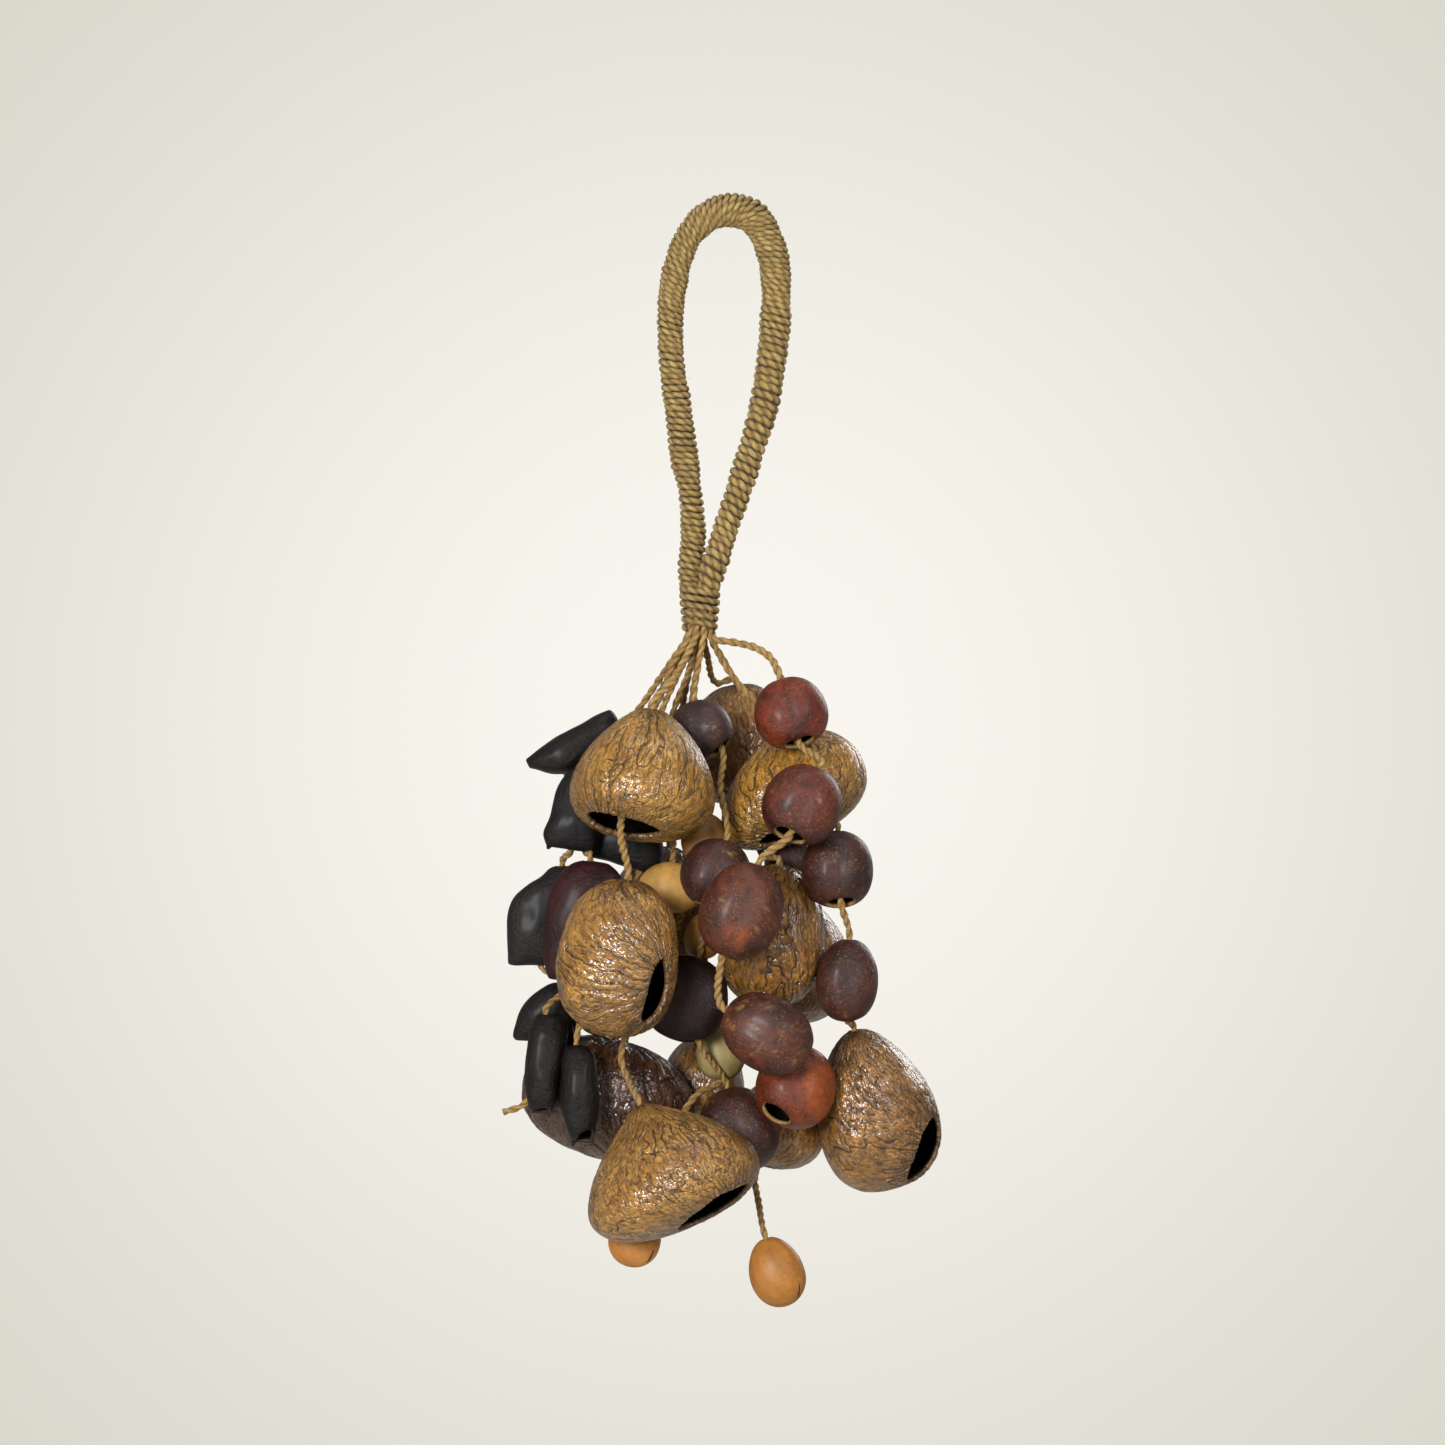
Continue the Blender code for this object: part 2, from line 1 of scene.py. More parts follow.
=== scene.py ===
"""Dresses the hanging rattle of cut nutshells: every nut, cord and turn of twine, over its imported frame."""

import itertools
import math
from types import SimpleNamespace
from typing import NamedTuple

import bpy
import numpy as np
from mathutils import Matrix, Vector


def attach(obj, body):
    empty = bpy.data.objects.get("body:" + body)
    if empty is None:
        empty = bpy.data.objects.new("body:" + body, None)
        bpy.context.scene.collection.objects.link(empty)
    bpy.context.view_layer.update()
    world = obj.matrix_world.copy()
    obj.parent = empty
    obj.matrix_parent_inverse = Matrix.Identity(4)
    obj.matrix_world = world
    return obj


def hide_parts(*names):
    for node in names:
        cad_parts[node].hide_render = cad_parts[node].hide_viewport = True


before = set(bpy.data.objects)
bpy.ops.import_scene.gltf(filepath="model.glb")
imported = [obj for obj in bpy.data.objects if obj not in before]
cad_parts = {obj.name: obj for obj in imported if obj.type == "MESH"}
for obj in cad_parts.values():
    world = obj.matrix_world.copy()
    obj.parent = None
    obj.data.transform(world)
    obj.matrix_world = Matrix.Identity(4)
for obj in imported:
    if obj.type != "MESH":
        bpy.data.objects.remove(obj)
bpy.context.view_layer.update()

# Sizes and places are in millimetres, from the point where the loop hangs on its hook:
# +X to the right, +Y away from the viewer, +Z up. Meshes are made in metres.
MM = 0.001


# Big wrinkled shells
# Hard seed cases as big as a hen's egg. The crown is drilled for the cord and the far end is cut
# open, so that each one clacks against its neighbours. Veins run from the crown to the mouth,
# and the whole skin is varnished.


class Nut(NamedTuple):
    """One threaded nut: its middle, its width, depth and length, and the ways its crown and mouth face."""

    middle: tuple
    size: tuple
    crown: tuple
    mouth: tuple
    taper: float = 0.0  # how much narrower still its crown end is
    lean: float = 0.0  # how far its crown end is pushed to the side, as a share of half its width
    outline: tuple = ()  # of a flat husk: its left and right edges at heights from crown to foot
    opening: float = 1.0  # how much wider than usual its mouth is cut
    slit: float = 0.0  # the mouth's width as a share of its length, where it isn't the usual
    roll: float = 0.0  # how far the slit is turned round its middle, in degrees


class Make(NamedTuple):
    """How the nuts of one kind are shaped and cut."""

    wall: float
    squareness: float  # 2 is an ellipsoid, more is boxier
    taper: float
    lobes: float
    crease: float
    bend: float
    mouth_angle: float
    slit: float


SHELL = Make(1.7, 2.4, 0.17, 0.035, 0.0, 0.0, 27.0, 0.7)
SHELLS = {
    "shell_upper_left": Nut((-27, -26, -169), (42, 36, 41), (0.1, 0.25, 1), (-0.3, -0.5, -0.8), 0.16),
    "shell_middle_left": Nut(
        (-34.5, -36, -225), (37, 32, 48), (0.1, 0.1, 1), (0.56, -0.7, -0.4), -0.1,
        opening=0.95, slit=0.42, roll=-51,
    ),
    "shell_lower_front": Nut(
        (-20.8, -38, -288), (49.5, 38, 41), (-0.38, 0.1, 0.93), (0.62, -0.36, -0.7), 0.34,
        opening=0.9, slit=0.95,
    ),
    "shell_upper_right": Nut((18.2, -1, -173.6), (46, 33, 33), (-0.3, 0.1, 1), (0.3, -0.55, -0.78), 0, 0.2),
    "shell_lower_right": Nut(
        (43.4, -6, -272.6), (36, 34, 51.5), (-0.25, -0.2, 1), (0.8, -0.34, -0.5), 0.12, opening=1.1
    ),
    "shell_centre": Nut((12, -10, -219), (32, 31, 44), (0.1, 0.15, 1), (0.1, 0.2, -0.97), -0.08),
    "shell_lower_left": Nut((-38.8, 1.5, -270), (54, 31, 37), (0.3, 0, 1), (0.2, 0.5, -0.84), -0.12),
    "shell_lower_back": Nut((-9.2, 21, -265), (26, 26, 27), (0, -0.1, 1), (-0.3, 0.3, -0.9)),
    "shell_bottom_right": Nut((13.6, 12, -278.6), (29, 28, 28), (0.1, 0, 1), (-0.42, -0.15, -0.9)),
    "shell_back_top": Nut((3, 33, -160), (38, 33, 38), (-0.1, -0.15, 1), (0.25, -0.3, -0.92)),
    "shell_back_left": Nut((-22, 19, -212), (34, 31, 40), (0.1, 0, 1), (0.25, 0.2, -0.95)),
    "shell_back_right": Nut((18, 24, -228), (36, 32, 40), (0, -0.1, 1), (-0.2, 0.2, -0.96)),
}


class Bark(NamedTuple):
    """The skin of one shell: its veins, its long folds and its colours."""

    cell: float  # how far apart its main veins lie, roughly
    stretch: float  # how much longer than that they run before they turn
    depth: float  # of the veins
    folds: float  # height of the long folds from crown to mouth
    twist: float  # how far the folds turn round the shell on their way, in radians a millimetre
    skin: str
    pale: str
    vein: str


BARKS = {
    "shell_upper_left": Bark(2.5, 4.6, 0.45, 0.06, 0.0, "#895C17", "#B48434", "#2A1606"),
    "shell_middle_left": Bark(2.8, 7.0, 0.24, 0.34, 0.022, "#825417", "#AE7E36", "#3A200A"),
    "shell_lower_front": Bark(1.8, 5.5, 0.32, 0.14, -0.014, "#8A5A1C", "#B4853C", "#2E1A08"),
    "shell_upper_right": Bark(2.8, 2.8, 0.36, 0.08, 0.0, "#96641A", "#BE8C36", "#2A1606"),
    "shell_lower_right": Bark(2.2, 5.5, 0.34, 0.2, 0.012, "#784C17", "#A07234", "#2E1A08"),
    "shell_centre": Bark(2.0, 6.0, 0.34, 0.22, 0.0, "#7E4E16", "#A8742E", "#2A1606"),
    # shell_lower_left hangs behind the front shells: its near-black skin is partly painted shadow.
    "shell_lower_left": Bark(3.6, 1.8, 0.3, 0.4, 0.0, "#241006", "#6A3C14", "#100703"),
}
BACK_BARK = Bark(2.4, 4.0, 0.3, 0.16, 0.0, "#805018", "#A6742E", "#2E1A08")
VEIN_WIDTH = 0.44  # of a main vein at its strongest
FINE = (210, 116)  # points round a shell that shows, and rings from its crown to its mouth
COARSE = (96, 56)
# Painted shade: the nearly black inside of every nut, in its hollow.
INSIDE_SHADE = "#0E0906"
SHELL_RIM = "#7A552C"
HOLE_RADIUS = 2.05
INNER_STEP = 8  # rings of the outer skin to each ring of the inside
EDGE_SWELL = 0.25  # how far a rounded edge stands out, as a share of the wall


def unit(vectors):
    vectors = np.asarray(vectors, float)
    return vectors / np.linalg.norm(vectors, axis=-1, keepdims=True)


def linear(colour):
    """A colour written as six hex digits, as the shaders take it."""
    shown = np.array([int(colour[i : i + 2], 16) for i in (1, 3, 5)]) / 255
    return np.where(shown < 0.04045, shown / 12.92, ((shown + 0.055) / 1.055) ** 2.4)


def between(low, high, share):
    share = np.asarray(share)[..., None]
    return low * (1 - share) + high * share


def step(low, high, values):
    """0 below low, 1 above high, and smooth between."""
    share = np.clip((values - low) / (high - low), 0, 1)
    return share * share * (3 - 2 * share)


def cloud(points, lump, seed):
    """Smooth random values from -1 to 1 at the points, in lumps of the given size."""
    lattice = np.random.default_rng(seed).uniform(-1, 1, (24, 24, 24))
    at = points / np.asarray(lump, float)
    cell = np.floor(at).astype(int)
    share = at - cell
    share = share * share * (3 - 2 * share)
    total = np.zeros(points.shape[:-1])
    for corner in itertools.product((0, 1), repeat=3):
        weight = np.prod(np.where(corner, share, 1 - share), axis=-1)
        total += weight * lattice[tuple(np.moveaxis((cell + corner) % 24, -1, 0))]
    return total


def swirl(points, lump, reach, seed):
    """Three clouds, to push the points about by."""
    return np.stack([cloud(points, lump, seed + k) for k in range(3)], axis=-1) * reach


def smooth(keys, pitch):
    """Points about a pitch apart on a smooth curve through the keys, and each key's place among them."""
    keys = np.asarray(keys, float)
    ahead = np.diff(keys, axis=0)
    spans = np.linalg.norm(ahead, axis=1, keepdims=True)
    ways = ahead / spans
    slopes = np.concatenate((ways[:1], (ways[:-1] + ways[1:]) / 2, ways[-1:]))
    points, at = [keys[:1]], [0]
    for a, b, span, start, end in zip(keys, keys[1:], spans[:, 0], slopes, slopes[1:]):
        count = max(1, round(span / pitch))
        t = np.arange(1, count + 1)[:, None] / count
        points.append(
            a * (2 * t**3 - 3 * t**2 + 1)
            + b * (3 * t**2 - 2 * t**3)
            + start * span * (t**3 - 2 * t**2 + t)
            + end * span * (t**3 - t**2)
        )
        at.append(at[-1] + count)
    return np.concatenate(points), at


def axes_of(nut):
    """The nut's own axes as columns: Z towards its crown, Y away from the viewer as far as it can."""
    up = unit(nut.crown)
    side = unit(np.cross((0, 1, 0), up))
    return np.stack((side, np.cross(up, side), up), axis=1)


def skin_points(nut, make, ways):
    """Where the nut's surface lies in the given unit directions, in its own frame."""
    n = make.squareness
    reach = (np.abs(ways) ** n).sum(axis=-1, keepdims=True) ** (-1 / n)
    x, y, z = np.moveaxis(ways * reach, -1, 0)
    half = np.array(nut.size) / 2
    if nut.outline:
        rows = smooth(nut.outline, 0.7)[0][::-1]
        left, right = (np.interp(half[2] * z, rows[:, 0], rows[:, k]) for k in (1, 2))
        full = np.maximum(1e-6, 1 - np.abs(z) ** n) ** (1 / n)
        across = (left + right) / 2 + (right - left) / 2 * x / full
        return np.stack((across, half[1] * y, half[2] * z), axis=-1)
    turn = np.arctan2(ways[..., 1], ways[..., 0])
    level = 1 - ways[..., 2] ** 2
    taper = make.taper + nut.taper
    narrow = 1 - taper * z - taper * z * z / 2
    lobe = 1 + make.lobes * level * np.cos(3 * turn + nut.middle[0])
    from_seam = (turn + math.pi / 2 + math.pi) % math.tau - math.pi
    seam = 1 - make.crease * level * np.exp(-((from_seam / 0.3) ** 2))
    return np.stack((
        half[0] * (x * narrow * lobe * seam + make.bend * (0.4 - z * z) + nut.lean * z),
        half[1] * y * narrow * lobe * seam,
        half[2] * z,
    ), axis=-1)


def turned(vectors, axis, angles):
    """The vectors, turned about one axis by an angle each."""
    angles = angles[..., None]
    along = (vectors @ axis)[..., None] * axis
    return vectors * np.cos(angles) + np.cross(axis, vectors) * np.sin(angles) + along * (1 - np.cos(angles))


def skin_of(nut, make, around, rings, ragged, seed):
    """The nut's skin as rings of points from the crown hole to the mouth, with what its finish needs."""
    rng = np.random.default_rng(seed)
    facing = unit(np.array(nut.mouth) @ axes_of(nut))
    axis = np.cross((0, 0, -1), facing)
    axis = unit(axis) if np.linalg.norm(axis) > 1e-6 else np.array((1.0, 0, 0))
    tilt = math.acos(np.clip(-facing[2], -1, 1))
    turn = math.tau * np.arange(around) / around - math.pi / 2
    share = np.linspace(0, 1, rings)[:, None] * np.ones(around)
    # The cut edge wanders: a few slow waves and a few bites.
    waves = sum(rng.normal() / k * np.cos(k * turn + rng.uniform(0, math.tau)) for k in (2, 3, 5, 8, 13, 21))
    mouth = math.radians(make.mouth_angle) * nut.opening * (1 + ragged * waves)
    first = math.atan2(HOLE_RADIUS, min(nut.size[:2]) / 2)
    angle = first + (math.pi - mouth - first) * share
    flat = 1 - (1 - (nut.slit or make.slit)) * share**3
    roll = math.radians(nut.roll)
    wide, thin = np.cos(turn - roll) * np.sin(angle), np.sin(turn - roll) * flat * np.sin(angle)
    ways = np.stack((
        wide * math.cos(roll) - thin * math.sin(roll),
        wide * math.sin(roll) + thin * math.cos(roll),
        np.cos(angle),
    ), axis=-1)
    ways = unit(turned(ways, axis, tilt * share))
    points = skin_points(nut, make, ways)
    if nut.outline:
        # A husk's top is a flat ridge, wider than its hole.
        crown = skin_points(nut, make, np.array((0, 0, 1.0)))
        hole = crown + HOLE_RADIUS * np.stack((np.cos(turn), np.sin(turn), 0 * turn), axis=-1)
        points = between(hole, points, step(-0.02, 0.09, share))
    across = np.roll(points, -1, axis=1) - np.roll(points, 1, axis=1)
    down = np.gradient(points, axis=0)
    normals = unit(np.cross(down, across))
    run = np.linalg.norm(np.diff(points, axis=0, prepend=points[:1]), axis=-1).cumsum(axis=0)
    radius = (nut.size[0] + nut.size[1]) / 4 * np.sin(angle)
    grain = np.stack((radius * np.cos(turn), radius * np.sin(turn), run), axis=-1)
    return SimpleNamespace(points=points, normals=normals, grain=grain, share=share, turn=turn + 0 * share)


def rounded_edge(last, first, outwards, swell):
    """Three rings that round the wall's edge, from one skin's last ring to the other skin's first."""
    middle, half = (last + first) / 2, (last - first) / 2
    return np.stack([
        middle + half * math.cos(turn) + outwards * swell * math.sin(turn)
        for turn in (math.pi / 4, math.pi / 2, 3 * math.pi / 4)
    ])


def mesh_piece(name, points, faces, finish):
    """A smooth mesh object through points in millimetres."""
    mesh = bpy.data.meshes.new(name)
    mesh.from_pydata((points.reshape(-1, 3) * MM).tolist(), [], faces)
    mesh.shade_smooth()
    mesh.materials.append(finish)
    piece = bpy.data.objects.new(name, mesh)
    bpy.context.scene.collection.objects.link(piece)
    return piece


def mesh_of_rings(name, rings, closed, finish):
    """A mesh through rings of points; closed joins the last ring to the first, else both ends are capped."""
    count, around = rings.shape[:2]
    here = np.arange(count if closed else count - 1)[:, None] * around
    there = (here + around) % (count * around)
    k = np.arange(around)
    after = (k + 1) % around
    quads = np.stack((here + k, there + k, there + after, here + after), axis=-1).reshape(-1, 4).tolist()
    if not closed:
        quads += [k.tolist(), (k[::-1] + (count - 1) * around).tolist()]
    return mesh_piece(name, rings, quads, finish)


def paint(piece, name, values):
    """Stores a colour for each point of the mesh, for its material to read."""
    values = np.asarray(values, float).reshape(-1, 3)
    layer = piece.data.attributes.new(name, "FLOAT_COLOR", "POINT")
    layer.data.foreach_set("color", np.column_stack((values, np.ones(len(values)))).ravel())


def follow(piece, name, places):
    """Stores a place along the grain for each point of the mesh, for its material to read."""
    layer = piece.data.attributes.new(name, "FLOAT_VECTOR", "POINT")
    layer.data.foreach_set("vector", np.asarray(places, float).ravel())


def cut_nut(name, nut, make, skin, relief, colours, rim_colour, finish, veins=None):
    """The nut's mesh: its skin with the relief, the rounded cut edge, the inside, and the drilled hole."""
    outer = skin.points + skin.normals * relief[..., None]
    under = skin.points - skin.normals * make.wall
    picked = list(range(len(outer) - 1, 0, -INNER_STEP)) + [0]
    inner = under[picked]
    rim = rounded_edge(outer[-1], inner[0], unit(outer[-1] - outer[-3]), make.wall * EDGE_SWELL)
    hole = rounded_edge(inner[-1], outer[0], unit(outer[0] - outer[2]), make.wall * EDGE_SWELL)
    rings = np.concatenate((outer, rim, inner, hole))
    rings = rings @ axes_of(nut).T + np.array(nut.middle)
    grime = cloud(rings, 1.3, 5) * 0.35 + 0.9
    rim_shade = linear(rim_colour) * grime[len(outer) : len(outer) + 3, :, None]
    # Painted shade in the hollow: the inside is nearly black, and its first ring is the rim darkened.
    inside = np.ones(inner.shape) * linear(INSIDE_SHADE)
    inside[0] = rim_shade[-1] * 0.6
    # Painted shade in the drilled hole: its rounded edge is the crown colour at half strength.
    hole_shade = np.ones(hole.shape) * colours[0] * 0.5
    piece = mesh_of_rings(name, rings, True, finish)
    paint(piece, "skin", np.concatenate((colours, rim_shade, inside, hole_shade)))
    for layer, values in (("grain", skin.grain), ("veins", veins)):
        if values is not None:
            ends = np.repeat(values[-1:], 3, axis=0), values[picked], np.repeat(values[:1], 3, axis=0)
            follow(piece, layer, np.concatenate((values, *ends)))
    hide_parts(name)
    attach(piece, "root")
    return piece


class Nodes:
    """The node tree of a material or a world, with a short way to add and join nodes."""

    def __init__(self, owner):
        owner.use_nodes = True
        self.tree = owner.node_tree

    def node(self, kind, inputs=(), **settings):
        made = self.tree.nodes.new(kind)
        for key, value in settings.items():
            setattr(made, key, value)
        for key, value in dict(inputs).items():
            if isinstance(value, bpy.types.NodeSocket):
                self.tree.links.new(value, made.inputs[key])
            else:
                made.inputs[key].default_value = value
        return made

    def maths(self, kind, operation, *values):
        """A sum done on numbers where the kind is Math, or on vectors where it is VectorMath."""
        return self.node("ShaderNode" + kind, dict(enumerate(values)), operation=operation).outputs[0]

    def blended(self, share, first, second):
        """The first colour where the share is 0 and the second where it is 1."""
        made = self.node("ShaderNodeMix", {0: share, 6: first, 7: second}, data_type="RGBA")
        return made.outputs[2]


class Finish(Nodes):
    """A material being put together."""

    def __init__(self, name):
        self.material = bpy.data.materials.new(name)
        super().__init__(self.material)
        self.shader = self.tree.nodes["Principled BSDF"]

    def set(self, **values):
        """Sets the shader's own sockets; an underscore stands for a space."""
        for key, value in values.items():
            socket = self.shader.inputs[key.replace("_", " ")]
            if isinstance(value, bpy.types.NodeSocket):
                self.tree.links.new(value, socket)
            else:
                socket.default_value = value

    def place(self, scale):
        """The point on the object, in units of the given count to a metre."""
        where = self.node("ShaderNodeTexCoord").outputs["Object"]
        return self.maths("VectorMath", "MULTIPLY", where, (scale,) * 3)

    def painted(self, name):
        return self.node("ShaderNodeAttribute", attribute_name=name).outputs["Color"]

    def followed(self, name, wander, scale):
        """The place along the grain, pushed about a little so that no line stays straight."""
        where = self.node("ShaderNodeAttribute", attribute_name=name).outputs["Vector"]
        noise = self.node("ShaderNodeTexNoise", {"Vector": where, "Scale": scale, "Detail": 3.0})
        push = self.maths("VectorMath", "SUBTRACT", noise.outputs["Color"], (0.5,) * 3)
        return self.maths("VectorMath", "ADD", where, self.shaded(push, wander))

    def noise(self, where, scale, detail=4.0, roughness=0.6):
        return self.node(
            "ShaderNodeTexNoise", {"Vector": where, "Scale": scale, "Detail": detail, "Roughness": roughness}
        ).outputs["Fac"]

    def spread(self, value, low, high, to_low, to_high):
        """The value, mapped from one range to another and held there."""
        made = self.node("ShaderNodeMapRange", {0: value, 1: low, 2: high, 3: to_low, 4: to_high})
        return made.outputs[0]

    def product(self, first, second):
        return self.maths("Math", "MULTIPLY", first, second)

    def shaded(self, colour, factor):
        """The colour or vector, multiplied by a factor."""
        made = self.node("ShaderNodeVectorMath", {0: colour, "Scale": factor}, operation="SCALE")
        return made.outputs[0]

    def bumped(self, height, distance, strength=1.0, under=None):
        inputs = {"Height": height, "Distance": distance, "Strength": strength}
        if under is not None:
            inputs["Normal"] = under
        return self.node("ShaderNodeBump", inputs).outputs[0]


def varnished_bark():
    """Varnish over branching veins and crinkles, which break its shine into flecks."""
    made = Finish("varnished_bark")
    where = made.place(1000)
    lengthwise = made.maths("VectorMath", "MULTIPLY", made.followed("grain", 0.9, 0.45), (1.0, 1.0, 0.34))
    mottle = made.noise(where, 0.3, 6.0, 0.65)
    # The mesh tells how far each point is from three sets of veins; they turn dark and sink there.
    veins = made.node("ShaderNodeAttribute", attribute_name="veins").outputs["Vector"]
    lines = made.node("ShaderNodeSeparateXYZ", {0: veins}).outputs
    drawn = None
    for axis, share, darkness in (("X", 1.0, 1.0), ("Y", 0.65, 0.8), ("Z", 0.5, 0.65)):
        width = VEIN_WIDTH * share
        away = made.maths("Math", "ABSOLUTE", lines[axis])
        line = made.spread(away, width * 0.25, width, 1.0 - darkness, 1.0)
        drawn = line if drawn is None else made.product(drawn, line)
    crinkle = made.noise(lengthwise, 0.95, 2.0, 0.55)
    ripple = made.noise(lengthwise, 0.45, 2.0, 0.5)
    pores = made.spread(made.noise(lengthwise, 2.8, 3.0, 0.6), 0.36, 0.5, 0.42, 1.04)
    colour = made.shaded(made.painted("skin"), made.spread(mottle, 0.3, 0.7, 0.74, 1.2))
    colour = made.shaded(colour, made.spread(drawn, 0.0, 1.0, 0.2, 1.0))
    # Painted shade and light: darker in the crinkles' hollows and in the pores, lighter on the crinkles'
    # crests.
    colour = made.shaded(colour, made.spread(crinkle, 0.34, 0.62, 0.5, 1.16))
    colour = made.shaded(colour, pores)
    bump = made.bumped(drawn, 0.0003, 0.8)
    bump = made.bumped(ripple, 0.0007, 1.0, bump)
    bump = made.bumped(crinkle, 0.0006, 1.0, bump)
    made.set(Base_Color=colour, Normal=made.bumped(pores, 0.00015, 0.8, bump), IOR=1.36)
    made.set(Coat_Normal=bump, Coat_Weight=1.0, Coat_Roughness=0.09)
    made.set(Roughness=made.spread(mottle, 0.35, 0.65, 0.4, 0.6))
    return made.material


def to_zero(values, skin):
    """How far in millimetres each point of the skin is from where the values change sign."""
    around = np.linalg.norm(np.roll(skin.points, -1, axis=1) - np.roll(skin.points, 1, axis=1), axis=-1)
    down = np.linalg.norm(np.gradient(skin.points, axis=0), axis=-1)
    slope_around = (np.roll(values, -1, axis=1) - np.roll(values, 1, axis=1)) / (around + 1e-6)
    slope_down = np.gradient(values, axis=0) / (down + 1e-6)
    return values / (np.hypot(slope_around, slope_down) + 1e-3)


def bark_relief(skin, bark, seed):
    """The veins and folds of a shell's skin, and how far each point is from its three sets of veins."""
    aside = skin.turn - bark.twist * skin.grain[..., 2]
    # The veins run together at the crown, so they are laid out on a cylinder.
    radius = 0.8 * np.hypot(skin.grain[..., 0], skin.grain[..., 1]).max()
    twisted = np.stack((radius * np.cos(aside), radius * np.sin(aside), skin.grain[..., 2]), axis=-1)
    twisted += swirl(skin.points, 8.0, 1.6, seed)
    grain = twisted + swirl(skin.points, 2.4, 0.6, seed + 3)
    away, relief = [], 0
    for k, (size, sunk) in enumerate(((1, 1), (0.6, 0.6), (0.4, 0.4))):
        lump = np.array((bark.cell, bark.cell, bark.cell * bark.stretch)) * size
        # A vein swells and dies out along its way.
        strong = 0.12 + 0.88 * step(-0.5, 0.35, cloud(skin.points, 7.0, seed + 7 + k))
        line = to_zero(cloud(grain, lump, seed + 20 + k), skin) / strong
        away.append(np.clip(line, -9, 9))
        relief = relief - bark.depth * sunk * np.exp(-((line / 0.55) ** 2)) * strong
    fold = 2 * np.abs(cloud(twisted, (2.6, 2.6, 17), seed + 10)) ** 0.7 - 1
    relief += bark.folds * fold + 0.16 * cloud(skin.points, 6.5, seed + 11)
    return relief, np.stack(away, axis=-1), fold


def bark_colours(skin, bark, fold, seed):
    blotch = cloud(skin.points, 6.0, seed + 13) * 0.4 + cloud(skin.points, 2.2, seed + 14) * 0.2 + 0.5
    colours = between(linear(bark.skin), linear(bark.pale), np.clip(blotch, 0, 1))
    # Painted shade: the hollows between the long folds are painted towards the vein colour.
    fold_shade = step(0.4, 1.0, -fold) * np.clip(bark.folds * 1.4, 0, 0.4)
    colours = between(colours, linear(bark.vein), fold_shade)
    crown = 1 - step(0.02, 0.2, skin.share + cloud(skin.points, 4.0, seed + 15) * 0.05)
    mouth = step(0.88, 1.0, skin.share + cloud(skin.points, 3.0, seed + 16) * 0.04)
    return colours * (1 - 0.3 * crown - 0.35 * mouth)[..., None]


bark_finish = varnished_bark()
threaded = {}
for index, (name, nut) in enumerate(SHELLS.items()):
    bark = BARKS.get(name, BACK_BARK)
    seed = 100 + 20 * index
    around, rings = FINE if name in BARKS else COARSE
    skin = skin_of(nut, SHELL, around, rings, 0.07, seed)
    relief, veins, fold = bark_relief(skin, bark, seed)
    relief *= 1 - 0.8 * np.exp(-skin.share * 40)
    colours = bark_colours(skin, bark, fold, seed)
    piece = cut_nut(name, nut, SHELL, skin, relief, colours, SHELL_RIM, bark_finish, veins)
    threaded[name] = (nut, SHELL)


# Round red-brown nuts
# Smooth hard nuts as big as a cherry, with a faint seam down one side and a skin that is scuffed
# in places. They are drilled and cut open like the shells, and polished but not varnished.
ROUND = Make(1.3, 2.2, 0.04, 0.0, 0.07, 0.0, 24.0, 0.8)
ROUND_NUTS = {
    "nut_top_right": Nut((17.7, -21, -150.4), (22.5, 21, 22), (-0.3, 0.1, 1), (0.25, -0.45, -0.85)),
    "nut_right": Nut((21, -34, -178.3), (24, 22, 24.5), (0.45, 0, 0.9), (-0.35, -0.5, -0.79)),
    "nut_front": Nut((2.5, -42, -210.5), (25, 23, 30), (0.35, 0.05, 0.95), (-0.4, 0.1, -0.92)),
    "nut_front_low": Nut((10.2, -40, -247.7), (23, 22, 29), (-0.85, 0, 0.5), (0.85, 0.2, -0.5)),
    "nut_top_middle": Nut((-10, -4, -155.6), (19.5, 19, 18.5), (-0.2, 0.1, 1), (0.65, -0.35, -0.65)),
    "nut_middle": Nut((-5.3, -22, -199.6), (21.5, 20, 21.5), (0.3, 0.1, 1), (-0.3, -0.1, -0.95)),
    "nut_low_middle": Nut((1.5, -12, -279), (24.5, 22, 27), (-0.25, 0.1, 1), (0.2, 0.2, -0.95)),
    "nut_right_upper": Nut((32, -18.3, -198.4), (22, 22, 24), (0, 0.05, 1), (0.1, -0.45, -0.88)),
    "nut_right_lower": Nut((35, -16.5, -232.6), (19, 19, 25.5), (0.05, 0, 1), (0.05, 0.2, -0.96)),
    "nut_orange": Nut((19.2, -22, -265), (24.5, 23, 26), (0.2, 0.3, 0.93), (-0.5, -0.6, -0.62)),
    "nut_behind_right": Nut((17.7, 14, -196.5), (16, 16, 17), (0, 0.1, 1), (0, 0.5, -0.86)),
    "nut_back_left": Nut((-30, 17, -172), (21, 20, 21), (0.1, 0, 1), (-0.1, -0.3, -0.95)),
}


class Peel(NamedTuple):
    """The skin of one round nut: its two colours, its scuffs, how dark its seam is, and its ripe side."""

    skin: str
    blush: str
    scuffed: float = 0.2
    seam: float = 0.0
    ripe: tuple = ()  # the way its orange side faces, and the cosine of how far that reaches


